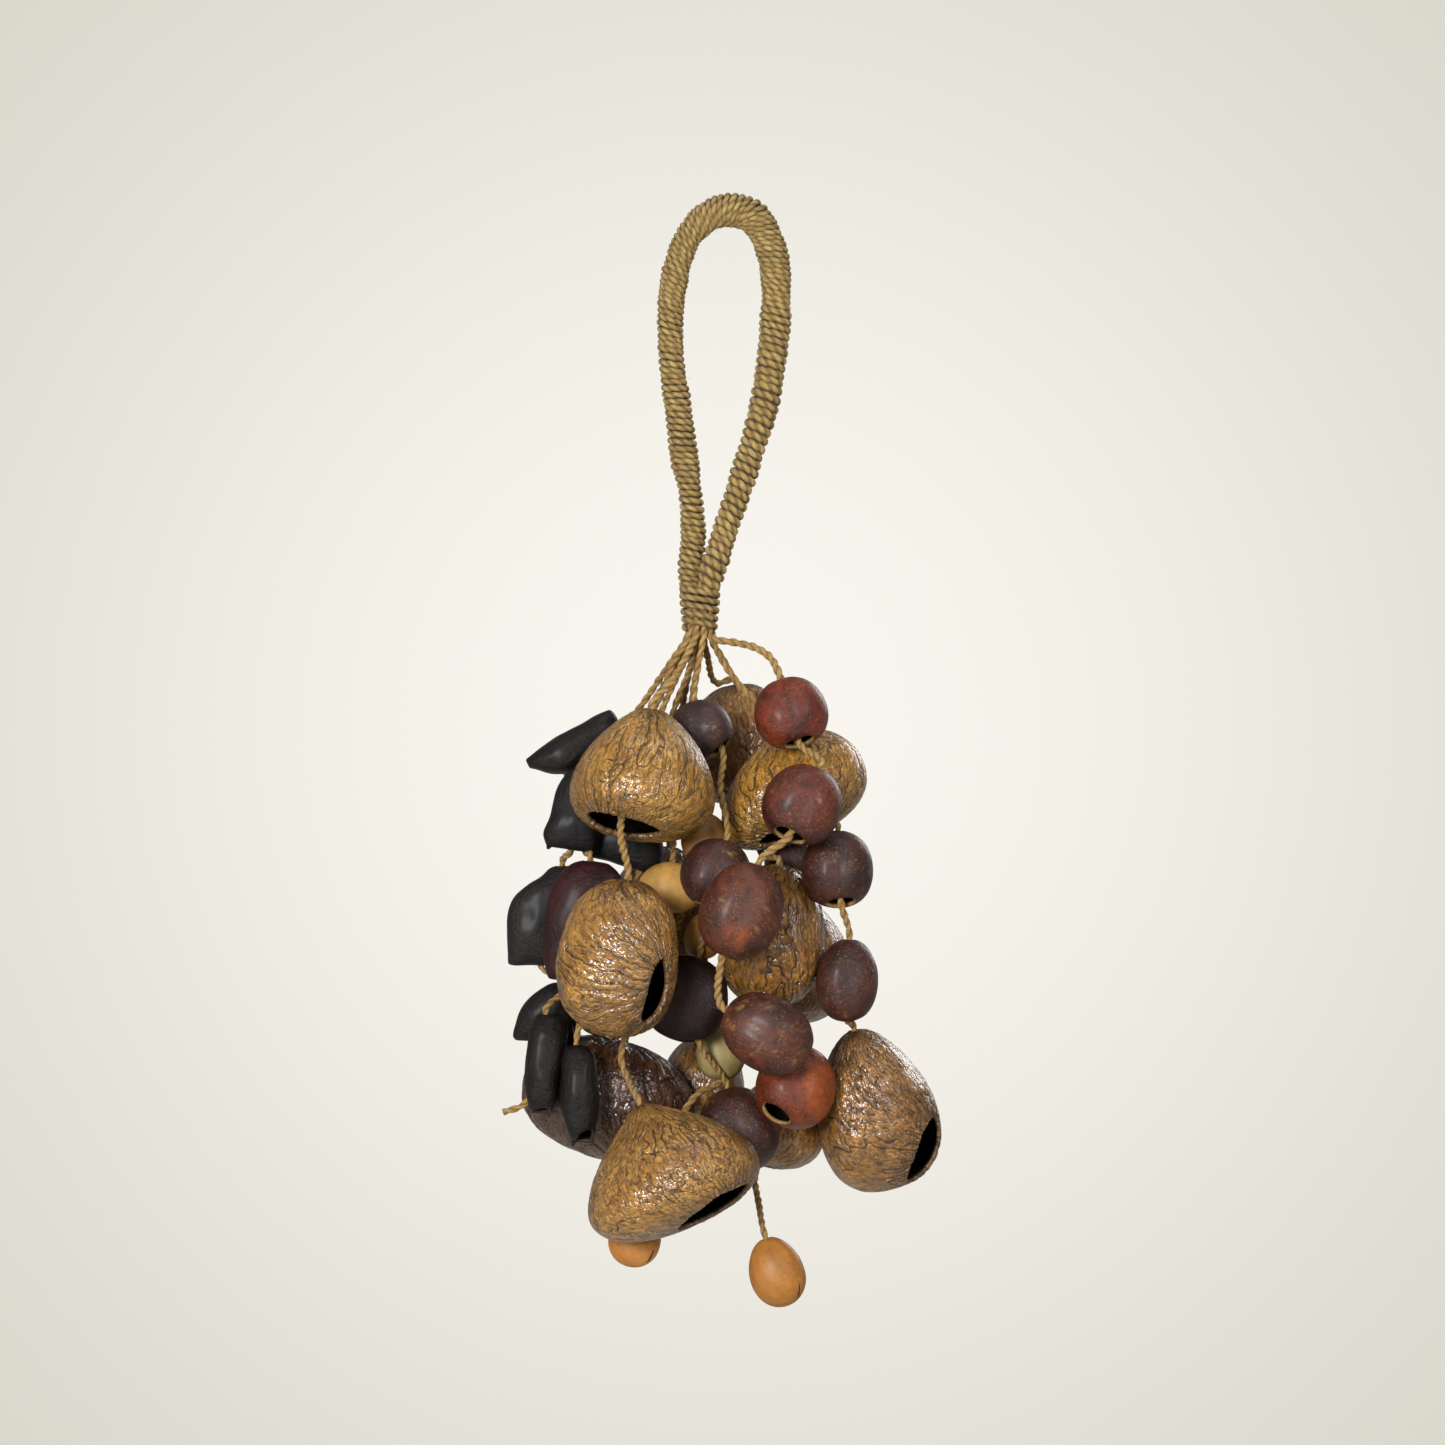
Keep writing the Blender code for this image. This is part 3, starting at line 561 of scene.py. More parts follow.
PEELS = {
    "nut_top_right": Peel("#541C10", "#783018", 0.05, 0.5),
    "nut_right": Peel("#3E1810", "#622A1A", 0.12),
    "nut_front": Peel("#3A1A11", "#602C18", 0.5, 0.0, (0.05, -0.72, -0.66, 0.9)),
    "nut_front_low": Peel("#3A1A12", "#582A1C", 0.9),
    "nut_top_middle": Peel("#2C1A1A", "#442C2A", 0.4),
    "nut_middle": Peel("#2A100F", "#44201A", 0.2),
    "nut_low_middle": Peel("#2A110D", "#421E16", 0.15),
    "nut_right_upper": Peel("#2C110E", "#442018", 0.2, 0.8),
    "nut_right_lower": Peel("#2E130F", "#48241C", 0.25),
    "nut_orange": Peel("#541C08", "#742C0E", 0.1, 0.0, (0.9, -0.4, 0.1, 0.5)),
}
BACK_PEEL = Peel("#301612", "#48241C", 0.2)
PEEL_RIPE = "#92440F"
PEEL_SCUFF = "#8A6434"
PEEL_DARK = "#120605"
PEEL_RIM = "#9A7A46"
ROUND_FINE = (72, 46)


def polished_peel():
    made = Finish("polished_peel")
    where = made.place(1000)
    mottle = made.noise(where, 0.28, 7.0, 0.72)
    colour = made.shaded(made.painted("skin"), made.spread(mottle, 0.32, 0.68, 0.62, 1.32))
    # Rubbed specks, most of them in a few patches.
    patch = made.spread(made.noise(where, 0.16, 3.0), 0.42, 0.56, 0.0, 1.0)
    specks = made.product(made.spread(made.noise(where, 1.6, 4.0, 0.6), 0.58, 0.63, 0.0, 0.6), patch)
    colour = made.blended(specks, colour, (*linear(PEEL_SCUFF), 1))
    flecks = made.spread(made.noise(where, 0.9, 4.0, 0.65), 0.33, 0.43, 0.6, 1.0)
    bump = made.bumped(made.noise(where, 0.7, 6.0, 0.65), 0.0007, 0.7)
    made.set(Base_Color=made.shaded(colour, flecks), Normal=bump, IOR=1.4)
    made.set(Coat_Weight=0.12, Coat_Roughness=0.26, Roughness=made.spread(mottle, 0.35, 0.65, 0.42, 0.6))
    return made.material


def peel_colours(skin, peel, seed):
    blush = cloud(skin.points, 7.0, seed) * 0.7 + cloud(skin.grain, (2.2, 2.2, 12), seed + 1) * 0.25 + 0.45
    colours = between(linear(peel.skin), linear(peel.blush), np.clip(blush, 0, 1))
    if peel.ripe:
        facing = unit(skin.points) @ unit(peel.ripe[:3]) + cloud(skin.points, 4.0, seed + 7) * 0.06
        colours = between(colours, linear(PEEL_RIPE), 0.6 * step(peel.ripe[3], peel.ripe[3] + 0.13, facing))
    dark = step(0.15, 0.7, cloud(skin.points, 3.2, seed + 2)) * 0.5
    colours = between(colours, linear(PEEL_DARK), dark)
    fleck = cloud(skin.points, (1.1, 1.1, 0.8), seed + 3) + 0.8 * cloud(skin.points, 3.4, seed + 4)
    worn = step(1.1 - 0.6 * peel.scuffed, 1.5 - 0.5 * peel.scuffed, fleck)
    colours = between(colours, linear(PEEL_SCUFF), worn * 0.6)
    line = np.exp(-(((skin.turn + math.pi / 2 + 0.08 * cloud(skin.points, 3.0, seed + 6)) / 0.06) ** 2))
    colours = between(colours, linear(PEEL_DARK), line * peel.seam)
    return colours * (1 - 0.4 * step(0.93, 1.0, skin.share))[..., None]


peel_finish = polished_peel()
for index, (name, nut) in enumerate(ROUND_NUTS.items()):
    peel = PEELS.get(name, BACK_PEEL)
    seed = 400 + 20 * index
    skin = skin_of(nut, ROUND, *ROUND_FINE, 0.05, seed)
    relief = cloud(skin.points, 4.0, seed + 8) * 0.14 + cloud(skin.grain, (1.6, 1.6, 9), seed + 9) * 0.05
    colours = peel_colours(skin, peel, seed)
    piece = cut_nut(name, nut, ROUND, skin, relief, colours, PEEL_RIM, peel_finish)
    threaded[name] = (nut, ROUND)


# Black and dark red husks
# Flat leathery pods, dried nearly black, each drilled through its tip and open at its foot.
# Their satin skin catches a bluish light, and two of them are dark red.
HUSK = Make(1.2, 2.6, 0.05, 0.0, 0.0, 0.07, 29.0, 0.8)
HUSKS = {
    "husk_wide": Nut((-14, -17.5, -238.4), (24, 16.5, 26), (0.3, 0.1, 1), (0.3, -0.1, -0.95)),
    "husk_top_left": Nut(
        (-49.5, 0.8, -159.5), (13, 14, 31), (0.923, 0.05, 0.384), (-0.1, 0.7, -0.7), outline=(
            (15.5, -5, 6), (11, -5.2, 6.2), (6, -4.8, 6.2),
            (-4.5, -3.6, 8.5), (-11, -2, 5.5), (-15.5, -0.5, 2),
        ),
    ),
    "husk_left": Nut((-47.5, -8.5, -179.5), (18, 12, 27), (0.12, 0.2, 1), (-0.1, 0.2, -1), outline=(
        (13.5, -2, 3.5), (9.5, -5.5, 5), (4.5, -7.5, 5.5), (-3, -8.5, 6), (-9.5, -10, 6.5), (-13.5, -8.5, 6),
    )),
    "husk_under_shell": Nut((-32.5, 0, -189), (22, 11, 18), (0.28, 0.1, 1), (-0.1, 0.2, -1), outline=(
        (9, -4, 4), (6, -8, 8), (0, -10.5, 11), (-5, -11.5, 12), (-9, -10.5, 11),
    )),
    "husk_red": Nut((-46, -14, -214.5), (24, 14.5, 37), (0, 0, 1), (0, 0.1, -1), outline=(
        (18.5, -2, 6), (17.5, -4, 8), (14, -8, 11.5), (6, -11.3, 12), (-3, -12.4, 11), (-13.5, -12.2, 8.5),
        (-18.5, -10.8, 6),
    )),
    "husk_grey": Nut((-58.5, 3, -213.5), (24, 13, 31), (0, 0, 1), (0, 0.1, -1), outline=(
        (15.5, 2, 9), (12.5, -1, 11.5), (9.5, -5.5, 12.5), (5.5, -9.8, 12.5), (-1, -11.6, 12),
        (-9, -11.7, 11), (-15.5, -11.2, 9),
    )),
    "husk_curved": Nut((-56, -4, -243), (20, 12, 18), (0, 0, 1), (0, 0.2, -1), outline=(
        (9, 0, 6), (7, -4, 7.5), (2.5, -8.7, 8), (-3.5, -11.4, 8), (-7.5, -12.2, 8), (-9, -11, 7),
    )),
    "husk_long": Nut((-57.5, -19.5, -258.2), (13, 13.5, 30.5), (0, 0, 1), (0, -0.2, -1), outline=(
        (15.2, -3, 3), (13, -4.4, 6.1), (5, -5.9, 6.4), (-3, -6.5, 4.6), (-10, -6, 3.8), (-15.2, -4.7, 1.3),
    )),
    "husk_open": Nut((-47, -24.5, -267), (12, 13.5, 30), (0, 0.05, 1), (0.2, -0.4, -0.9), outline=(
        (15, -4.2, 2.2), (12.5, -5.2, 4.4), (5, -6, 5.5), (-3, -5.8, 5.7), (-10, -4.3, 5.3), (-15, -2.5, 4),
    )),
    "husk_small": Nut((-37.5, -9, -243), (20, 12, 14), (0, 0, 1), (0, 0.3, -1)),
}
HUSK_COLOURS = {
    "husk_wide": ("#120605", "#220C0A"),
    "husk_red": ("#1E0606", "#340C0C"),
    "husk_grey": ("#100C0B", "#1C1817"),
    "husk_left": ("#0B0808", "#171315"),
}
HUSK_BLACK = ("#090504", "#150D0A")
HUSK_RIM = "#2C2018"
HUSK_FINE = (76, 50)


def satin_husk():
    made = Finish("satin_husk")
    where = made.place(1000)
    mottle = made.noise(where, 0.35, 6.0, 0.65)
    colour = made.shaded(made.painted("skin"), made.spread(mottle, 0.3, 0.7, 0.75, 1.3))
    wrinkle = made.noise(made.followed("grain", 0.6, 0.5), 0.7, 5.0, 0.65)
    bump = made.bumped(wrinkle, 0.0012, 0.6)
    bump = made.bumped(made.noise(where, 1.5, 3.0), 0.00018, 0.6, bump)
    made.set(Base_Color=colour, Normal=bump, IOR=1.34, Coat_Weight=0.1, Coat_Roughness=0.25, Coat_IOR=1.4)
    made.set(Roughness=made.spread(mottle, 0.35, 0.65, 0.42, 0.6))
    return made.material


def streaked(skin, dark, light, lump, middle, seed):
    """Two colours that blend in clouds, and in streaks along the grain."""
    tone = cloud(skin.points, 5.0, seed) * 0.5 + cloud(skin.grain, lump, seed + 1) * 0.3 + middle
    return between(linear(dark), linear(light), np.clip(tone, 0, 1))


husk_finish = satin_husk()
for index, (name, nut) in enumerate(HUSKS.items()):
    dark, light = HUSK_COLOURS.get(name, HUSK_BLACK)
    seed = 700 + 20 * index
    skin = skin_of(nut, HUSK, *HUSK_FINE, 0.05, seed)
    relief = cloud(skin.points, 5.0, seed) * 0.35 + cloud(skin.grain, (1.8, 1.8, 10), seed + 1) * 0.12
    colours = streaked(skin, dark, light, (1.2, 1.2, 9), 0.4, seed + 2)
    piece = cut_nut(name, nut, HUSK, skin, relief, colours, HUSK_RIM, husk_finish)
    threaded[name] = (nut, HUSK)


# Pale smooth seeds
# Small seeds of a light wood colour, drilled end to end, with a short slit where the husk has
# been peeled off. They are bare and nearly matt.
SEED = Make(1.2, 2.1, 0.1, 0.0, 0.0, 0.0, 34.0, 0.5)
SEEDS = {
    "seed_middle": Nut((-19.5, -8, -204.3), (20, 15, 16), (0.1, 0.1, 1), (0.3, 0.1, -0.95)),
    "seed_upper": Nut((-8.7, -4, -189), (15, 14, 15.5), (0, 0.1, 1), (0, -0.2, -0.98)),
    "seed_inner": Nut((-9.5, -9, -219.5), (11.6, 11.6, 14.4), (0, 0.1, 1), (0.1, 0, -1)),
    "seed_green": Nut((-4, -6.5, -255.5), (15, 11.5, 17), (-0.2, 0, 1), (0, -0.1, -1)),
    "seed_bottom_left": Nut(
        (-30, -20.5, -311.3), (16, 14, 18.5), (0.3, 0.1, 1), (0.6, -0.5, -0.62),
        opening=0.5, slit=0.3, roll=-50,
    ),
    "seed_bottom": Nut(
        (13.3, -14, -322.4), (17, 15, 22), (-0.3, 0, 0.95), (0.72, -0.45, -0.5),
        opening=0.5, slit=0.22, roll=-50,
    ),
}
SEED_COLOURS = {
    "seed_middle": ("#B4823C", "#D0A056"),
    "seed_upper": ("#85592A", "#A87842"),
    "seed_inner": ("#986A20", "#B48234"),
    "seed_green": ("#74623A", "#968654"),
    "seed_bottom_left": ("#9C6428", "#BA7E3C"),
    "seed_bottom": ("#925C22", "#AE7632"),
}
SEED_RIM = "#6A4526"
SEED_DARK = "#5A3518"
SEED_FINE = (60, 38)


def bare_seed():
    made = Finish("bare_seed")
    where = made.place(1000)
    mottle = made.noise(where, 0.6, 6.0, 0.7)
    colour = made.shaded(made.painted("skin"), made.spread(mottle, 0.3, 0.7, 0.82, 1.12))
    bump = made.bumped(made.noise(where, 2.0, 3.0), 0.00012, 0.4)
    made.set(Base_Color=colour, Normal=bump, IOR=1.45, Roughness=made.spread(mottle, 0.35, 0.65, 0.45, 0.6))
    return made.material


seed_finish = bare_seed()
for index, (name, nut) in enumerate(SEEDS.items()):
    dark, light = SEED_COLOURS[name]
    seed = 900 + 20 * index
    skin = skin_of(nut, SEED, *SEED_FINE, 0.04, seed)
    relief = cloud(skin.points, 5.0, seed) * 0.1
    colours = streaked(skin, dark, light, (1.0, 1.0, 8), 0.5, seed + 2)
    fleck = step(0.75, 0.95, cloud(skin.points, 0.9, seed + 4)) * 0.5
    colours = between(colours, linear(SEED_DARK), fleck)
    piece = cut_nut(name, nut, SEED, skin, relief, colours, SEED_RIM, seed_finish)
    threaded[name] = (nut, SEED)


# The cords
# Thirteen lengths of hand-laid two-ply plant fibre, about 2 mm thick. Each hangs from the
# whipping and runs through its nuts, with a knot under the crown of each to carry it.
CORD_RADIUS = 1.0
THICK_CORD_RADIUS = 1.15
KNOT_RADIUS = 2.2
CORD_GAP = 0.3  # between a knot and the wall above it
CORD_START = 1.0  # below the ends of the loop's cores
CORD_RING = 3.85  # radius of the outer ring of cords in the whipping
CORD_INNER_RING = 1.3
CORE_LENGTH = 6.5  # how far the solids' cores go down into the whipping; loop_core stops short of that
TAIL_LENGTH = 7.0
WHIPPING_CENTRE = (-10.3, 0.0)
WHIPPING_TOP = -110.5
WHIPPING_BOTTOM = -125.3


class Cord(NamedTuple):
    """One cord: its ring and angle in the whipping, then the points and nuts it runs through."""

    radius: float
    ring: float
    angle: float
    stops: tuple


CORDS = {
    "cord_front_left": Cord(THICK_CORD_RADIUS, CORD_RING, 252, (
        (-13.5, -7, -131), (-19, -15, -141), "shell_upper_left", "shell_middle_left",
    )),
    "cord_far_left": Cord(CORD_RADIUS, CORD_RING, 216, (
        (-18, -2.5, -134), (-25, -0.5, -149), "husk_top_left",
        (-49, 2, -172), (-48, 2, -187), (-46, -2, -193), "husk_red", "husk_long",
    )),
    "cord_left": Cord(CORD_RADIUS, CORD_RING, 180, (
        (-19, 2, -134), (-33, 9, -154), (-42, 9.5, -164.5), (-45, 2.5, -169.5),
        "husk_left", "husk_grey", "husk_curved",
        (-60, -10.5, -262), (-64.5, -11, -271), (-71, -11, -273.5),
    )),
    "cord_inner_left": Cord(CORD_RADIUS, CORD_INNER_RING, 180, (
        (-17, 0, -138), (-26, -1, -160), (-29, -2, -176), "husk_under_shell",
        (-32.5, -3, -207), (-35.5, -15, -230), (-47, -22.6, -246), "husk_open",
    )),
    "cord_back_left": Cord(CORD_RADIUS, CORD_RING, 144, (
        (-17, 6, -134), (-27, 15, -152), "nut_back_left",
        (-33, 5, -205), (-36, -4, -226), "husk_small", "shell_lower_left",
    )),
    "cord_arched": Cord(THICK_CORD_RADIUS, CORD_RING, 324, (
        (-5, -6.5, -127.7), (1, -9.5, -128.7), (7, -13, -130.3), (11.4, -16.3, -133.3), "nut_top_right",
        "nut_right", "nut_front", "nut_front_low",
    )),
    "cord_right": Cord(CORD_RADIUS, CORD_RING, 0, (
        (-4, 0, -133), (6, 0, -146), "shell_upper_right",
        (29.5, -16.5, -184.5), "nut_right_upper", "nut_right_lower", "shell_lower_right",
    )),
    "cord_front_middle": Cord(CORD_RADIUS, CORD_RING, 288, (
        (-10.5, -4, -134), "nut_top_middle", (-4, -14, -173), "nut_middle",
        "husk_wide", "nut_low_middle",
    )),
    "cord_back_middle": Cord(CORD_RADIUS, CORD_RING, 72, (
        (-8, 10, -133), (-5, 24, -141), "shell_back_top",
        (8, 12, -192), (10.5, 1, -195), "shell_centre", "nut_orange",
    )),
    "cord_inner_middle": Cord(CORD_RADIUS, CORD_INNER_RING, 60, (
        (-11, 4, -135), (-13, 9, -150), (-11, 9, -162), (-7, 0, -176), "seed_upper",
        (-7.3, -7.5, -205), "seed_inner", "seed_green",
        (-11, -10, -268), (-21, -15, -284), (-27.5, -18, -298), "seed_bottom_left",
    )),
    "cord_inner_back": Cord(CORD_RADIUS, CORD_INNER_RING, 300, (
        (-13.5, 1.5, -137), (-19, 5, -152), (-19, 4, -176), "seed_middle",
        (-26, -15, -229), (-33, -17.5, -248.5), (-34.4, -20, -256.5), (-32, -25, -263), "shell_lower_front",
    )),
    "cord_back": Cord(CORD_RADIUS, CORD_RING, 108, (
        (-13, 8, -134), (-16, 13.5, -150), (-17, 18, -176), "shell_back_left", "shell_lower_back",
    )),
    "cord_back_right": Cord(CORD_RADIUS, CORD_RING, 36, (
        (-3, 6, -134), (8, 14, -153), (17, 18.5, -175), "nut_behind_right",
        "shell_back_right", "shell_bottom_right", (8.2, -5, -303.5), "seed_bottom",
    )),
}
CORD_LAY = 7.0  # length in which the two plies go once round each other
CORD_POINTS = 12  # round a cord
CORD_OFFSET = 0.3  # of each ply's middle from the cord's, as a share of the radius
CORD_PITCH = 0.44  # from one ring of points to the next
CORD_SWELL = 1.12  # of the laid cord, whose plies stand out past its middle thickness
# The third colour is painted shade in the groove between the plies.
CORD_COLOURS = ("#A2793A", "#D0A862", "#4E3414")  # of the fibre, its pale strands and its grooves


def threading(name):
    """The cord's points at one nut: over its crown hole, under it, at the knot, below that, at the mouth."""
    nut, make = threaded[name]
    axes = axes_of(nut)
    facing = unit(np.array(nut.mouth) @ axes)
    crown = axes @ skin_points(nut, make, np.array((0, 0, 1.0))) + nut.middle
    mouth = axes @ skin_points(nut, make, facing) + nut.middle
    up = axes[:, 2]
    under = crown - up * (make.wall + CORD_GAP)
    knot = under - up * KNOT_RADIUS * 0.8
    return crown + up * 1.5, under, knot, knot - up * KNOT_RADIUS * 0.7, mouth


def whipped_at(ring, angle, height):
    """A place inside the whipping."""
    turn = math.radians(angle)
    return np.array((
        WHIPPING_CENTRE[0] + ring * math.cos(turn), WHIPPING_CENTRE[1] + ring * math.sin(turn), height
    ))


def cord_route(cord):
    """The cord's points, and which of them are the middles of its knots."""
    start = WHIPPING_TOP - CORE_LENGTH - CORD_START
    keys = [whipped_at(cord.ring, cord.angle, start), whipped_at(cord.ring, cord.angle, WHIPPING_BOTTOM - 1)]
    knots = []
    for stop in cord.stops:
        if isinstance(stop, str):
            over, under, knot, below, mouth = threading(stop)
            knots.append(len(keys) + 2)
            keys += [over, under, knot, below]
            keys.append(mouth if stop != cord.stops[-1] else below + unit(mouth - below) * TAIL_LENGTH)
        else:
            keys.append(np.array(stop, float))
    points, at = smooth(keys, CORD_PITCH)
    return points, [at[knot] for knot in knots]


def along_line(points):
    return np.linalg.norm(np.diff(points, axis=0, prepend=points[:1]), axis=1).cumsum()


def wander(along, lump, seed):
    """Smooth random values from -1 to 1 along a line."""
    return cloud(np.stack((along, 0 * along, 0 * along), axis=-1), lump, seed)


def sides_of(points):
    """Two directions square to the line at each of its points, which don't spin along it."""
    ways = unit(np.gradient(points, axis=0))
    side = unit(np.cross(ways[0], (0.3, 1, 0.2)))
    sides = []
    for way in ways:
        side = unit(side - way * (side @ way))
        sides.append(side)
    sides = np.array(sides)
    return sides, np.cross(ways, sides)


def spokes(points, angle):
    """Directions square to the line at each of its points, turned round it by the angles."""
    side, up = sides_of(points)
    return side[:, None] * np.cos(angle)[..., None] + up[:, None] * np.sin(angle)[..., None]


def two_ply(points, radii, lay, around, seed, offset):
    """Rings round the line for a twine of two plies, and each point's place in its ply."""
    along = along_line(points)
    spin = math.tau * along / lay + seed + wander(along, 24.0, seed) * 3.0
    ply = 1 - offset
    turn = math.tau * np.arange(around) / around
    reach = offset * abs(np.cos(turn)) + np.sqrt(ply**2 - (offset * np.sin(turn)) ** 2)
    radii = np.broadcast_to(radii, along.shape) * (1 + 0.08 * wander(along, 2.5, seed + 1))
    angle = spin[:, None] + turn
    rings = points[:, None] + spokes(points, angle) * (reach * radii[:, None])[..., None]
    # How deep each point lies in the groove between the plies, for painted shade.
    valley_shade = 1 - (reach - reach.min()) / (reach.max() - reach.min())
    return rings, along[:, None] + 0 * angle, turn + 0 * angle, valley_shade + 0 * angle


def fibre_colours(along, turn, valley_shade, colours, seed):
    """Streaks that follow the fibres of each ply, with painted shade in the groove between the plies."""
    fibre = np.stack((np.cos(turn) * 1.2 + along * 0.5, np.sin(turn) * 1.2, along * 0.6), axis=-1)
    streak = cloud(fibre, (0.45, 0.45, 1.1), seed) * 0.5 + cloud(fibre, (3, 3, 6), seed + 1) * 0.4 + 0.42
    base = between(linear(colours[0]), linear(colours[1]), np.clip(streak, 0, 1))
    return between(base, linear(colours[2]), np.clip(valley_shade * 1.2 - 0.3, 0, 1) * 0.7)


def laid_fibre(name):
    made = Finish(name)
    where = made.place(1000)
    strand = made.noise(where, 1.9, 4.0, 0.7)
    colour = made.shaded(made.painted("skin"), made.spread(strand, 0.3, 0.7, 0.62, 1.3))
    bump = made.bumped(made.noise(made.followed("grain", 0.4, 1.0), 3.0, 4.0, 0.7), 0.0007)
    made.set(Base_Color=colour, Normal=made.bumped(strand, 0.0004, 0.5, bump), Roughness=0.82, IOR=1.45)
    made.set(Sheen_Weight=0.1, Sheen_Roughness=0.5)
    return made.material


def twine_piece(name, path, radii, lay, around, offset, colours, finish, seed, outwards=None):
    """A mesh of two-ply twine along a path, painted, with the grain of its fibres."""
    rings, along, turn, valley_shade = two_ply(path, radii, lay, around, seed, offset)
    piece = mesh_of_rings(name, rings, False, finish)
    shades = fibre_colours(along, turn, valley_shade, colours, seed + 5)
    if outwards is not None:
        # Painted shade: each turn is painted darker on its sides, in the groove between it and the next.
        facing = (unit(rings - path[:, None]) * outwards[:, None]).sum(axis=-1)
        shades = shades * (0.3 + 0.7 * step(0.15, 0.8, facing))[..., None]
    paint(piece, "skin", shades)
    follow(piece, "grain", np.stack((np.cos(turn), np.sin(turn), along * 0.35), axis=-1))
    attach(piece, "root")
    return piece


def swollen(points, knots, radius):
    """The cord's radius at each point, thicker at its knots."""
    along = along_line(points)
    radii = np.full(len(points), radius * CORD_SWELL)
    for knot in knots:
        away = abs(along - along[knot]) / (KNOT_RADIUS * 1.1)
        radii = np.maximum(radii, KNOT_RADIUS * np.sqrt(np.clip(1 - away**2, 0, 1)))
    return radii


cord_finish = laid_fibre("laid_cord_fibre")
for index, (name, cord) in enumerate(CORDS.items()):
    points, knots = cord_route(cord)
    radii = swollen(points, knots, cord.radius)
    piece = twine_piece(
        name, points, radii, CORD_LAY, CORD_POINTS, CORD_OFFSET, CORD_COLOURS, cord_finish, 1100 + 10 * index
    )
    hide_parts(name)
    round(along_line(points)[-1] * MM, 3)


# The wrapped loop
# The cords' doubled upper ends, wound side by side with about 125 turns of two-ply twine, tight
# at the bend and more open down the legs. It is the handle and what the rattle hangs by.
LEFT_LEG = (
    (-13.3, 3.3, -107.5, 4.0), (-12.4, 3, -96, 4.1), (-12.9, 2.6, -85, 3.9), (-14.2, 2.3, -77, 4.1),
    (-15, 2.1, -72, 4.7), (-16.3, 1.7, -62, 4.5), (-17.3, 1.3, -54, 4.5), (-18.5, 1, -47, 4.1),
    (-19.4, 0.5, -36, 4.1), (-19.4, 0.2, -27, 4.2), (-18.8, 0, -19, 4.5), (-16.6, 0, -9, 4.4),
    (-12.6, 0, -0.8, 4.6), (-6, 0, 4.6, 5.0),
)
LOOP_TOP_RADIUS = 5.5
RIGHT_LEG = (
    (5.6, 0, 3.9, 5.4), (10.2, 0, -2.5, 5.1), (12.8, 0, -11, 5.1), (13.3, 0, -21, 4.8),
    (13, 0, -30, 5.0), (11.7, -0.4, -42, 4.8), (9.8, -0.9, -54, 4.8), (6.8, -1.5, -65, 4.5),
    (3.7, -2, -75, 4.5), (0.2, -2.5, -86, 4.3), (-3.2, -3.1, -96, 4.3), (-6.6, -3.7, -107.5, 4.1),
)
LEFT_FOOT = (-13.2, 2.4, -112.5, 3.4)  # where each leg ends, 2 mm down in the whipping
RIGHT_FOOT = (-7.6, -2.6, -112.5, 3.4)
TWINE_LAY = 6.0
TWINE_POINTS = 10
TWINE_OFFSET = 0.22
TWINE_STEPS = 48  # rings of points in one turn
TWINE_SHARE = 0.53  # the twine's radius as a share of the pitch, as each turn is pressed on the next
BEND_SHARE = 0.68  # and round the bend, where the turns fan out
PITCHES = (2.05, 1.6, 2.6)  # from one turn to the next: in the left leg, over the bend, in the right leg
# The twine's fibre, its pale strands, and the painted shade in its grooves, which also colours the loop's
# cores.
TWINE_COLOURS = ("#A68546", "#D2B46E", "#5E441A")
LOOP_STEP = 0.8  # from one point of the loop's middle line to the next
CORE_SIDES = 16
CORE_COVER = 1.4  # how much thinner the cores are than the wound loop, on each side


def wound(line, radii, pitches, share, lean, seed):
    """The path of a twine wound side by side round a line, its way out there, and its radius."""
    along = along_line(line)
    turns = np.concatenate(((0,), (np.diff(along) / ((pitches[1:] + pitches[:-1]) / 2)).cumsum()))
    turn = np.linspace(0, turns[-1], int(turns[-1] * TWINE_STEPS))
    at = np.interp(turn, turns, along)
    angle = math.tau * turn
    # A turn lies aslant: its front is higher than its back. No two lie quite alike.
    aslant = np.interp(at, along, lean) + 0.25 * wander(at, 9.0, seed + 2)
    place = np.clip(at + wander(at, 5.0, seed) * 0.45 + aslant * np.cos(angle), 0, along[-1])
    centre = np.stack([np.interp(place, along, line[:, k]) for k in range(3)], axis=1)
    ways = unit(np.gradient(line, axis=0))
    way = unit(np.stack([np.interp(place, along, ways[:, k]) for k in range(3)], axis=1))
    out = unit(np.cross(way, (0, 1, 0)))
    back = np.cross(out, way)
    thick = np.interp(place, along, share * pitches) * (1 + 0.1 * wander(turn * 7, 5.0, seed + 4))
    radius = np.interp(place, along, radii) - thick + wander(turn * 7, 9.0, seed + 1) * 0.25
    outwards = out * np.cos(angle)[:, None] + back * np.sin(angle)[:, None]
    return centre + radius[:, None] * outwards, outwards, thick


twine_finish = laid_fibre("wound_twine_fibre")
keys = [LEFT_FOOT, *LEFT_LEG, (0, 0, LOOP_TOP_RADIUS, LOOP_TOP_RADIUS), *RIGHT_LEG, RIGHT_FOOT]
loop_line = smooth(keys, LOOP_STEP)[0]
bend = step(-50, -5, loop_line[:, 2])
leg_pitches = np.where(np.arange(len(loop_line)) < loop_line[:, 2].argmax(), PITCHES[0], PITCHES[2])
loop_path, outwards, thick = wound(
    loop_line[:, :3], loop_line[:, 3], leg_pitches + (PITCHES[1] - leg_pitches) * bend,
    TWINE_SHARE + (BEND_SHARE - TWINE_SHARE) * bend, 0.3 + 0.7 * bend, 1400,
)
loop = twine_piece(
    "loop_twine", loop_path, thick, TWINE_LAY, TWINE_POINTS, TWINE_OFFSET, TWINE_COLOURS, twine_finish,
    1410, outwards,
)
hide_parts("wrapped_loop")

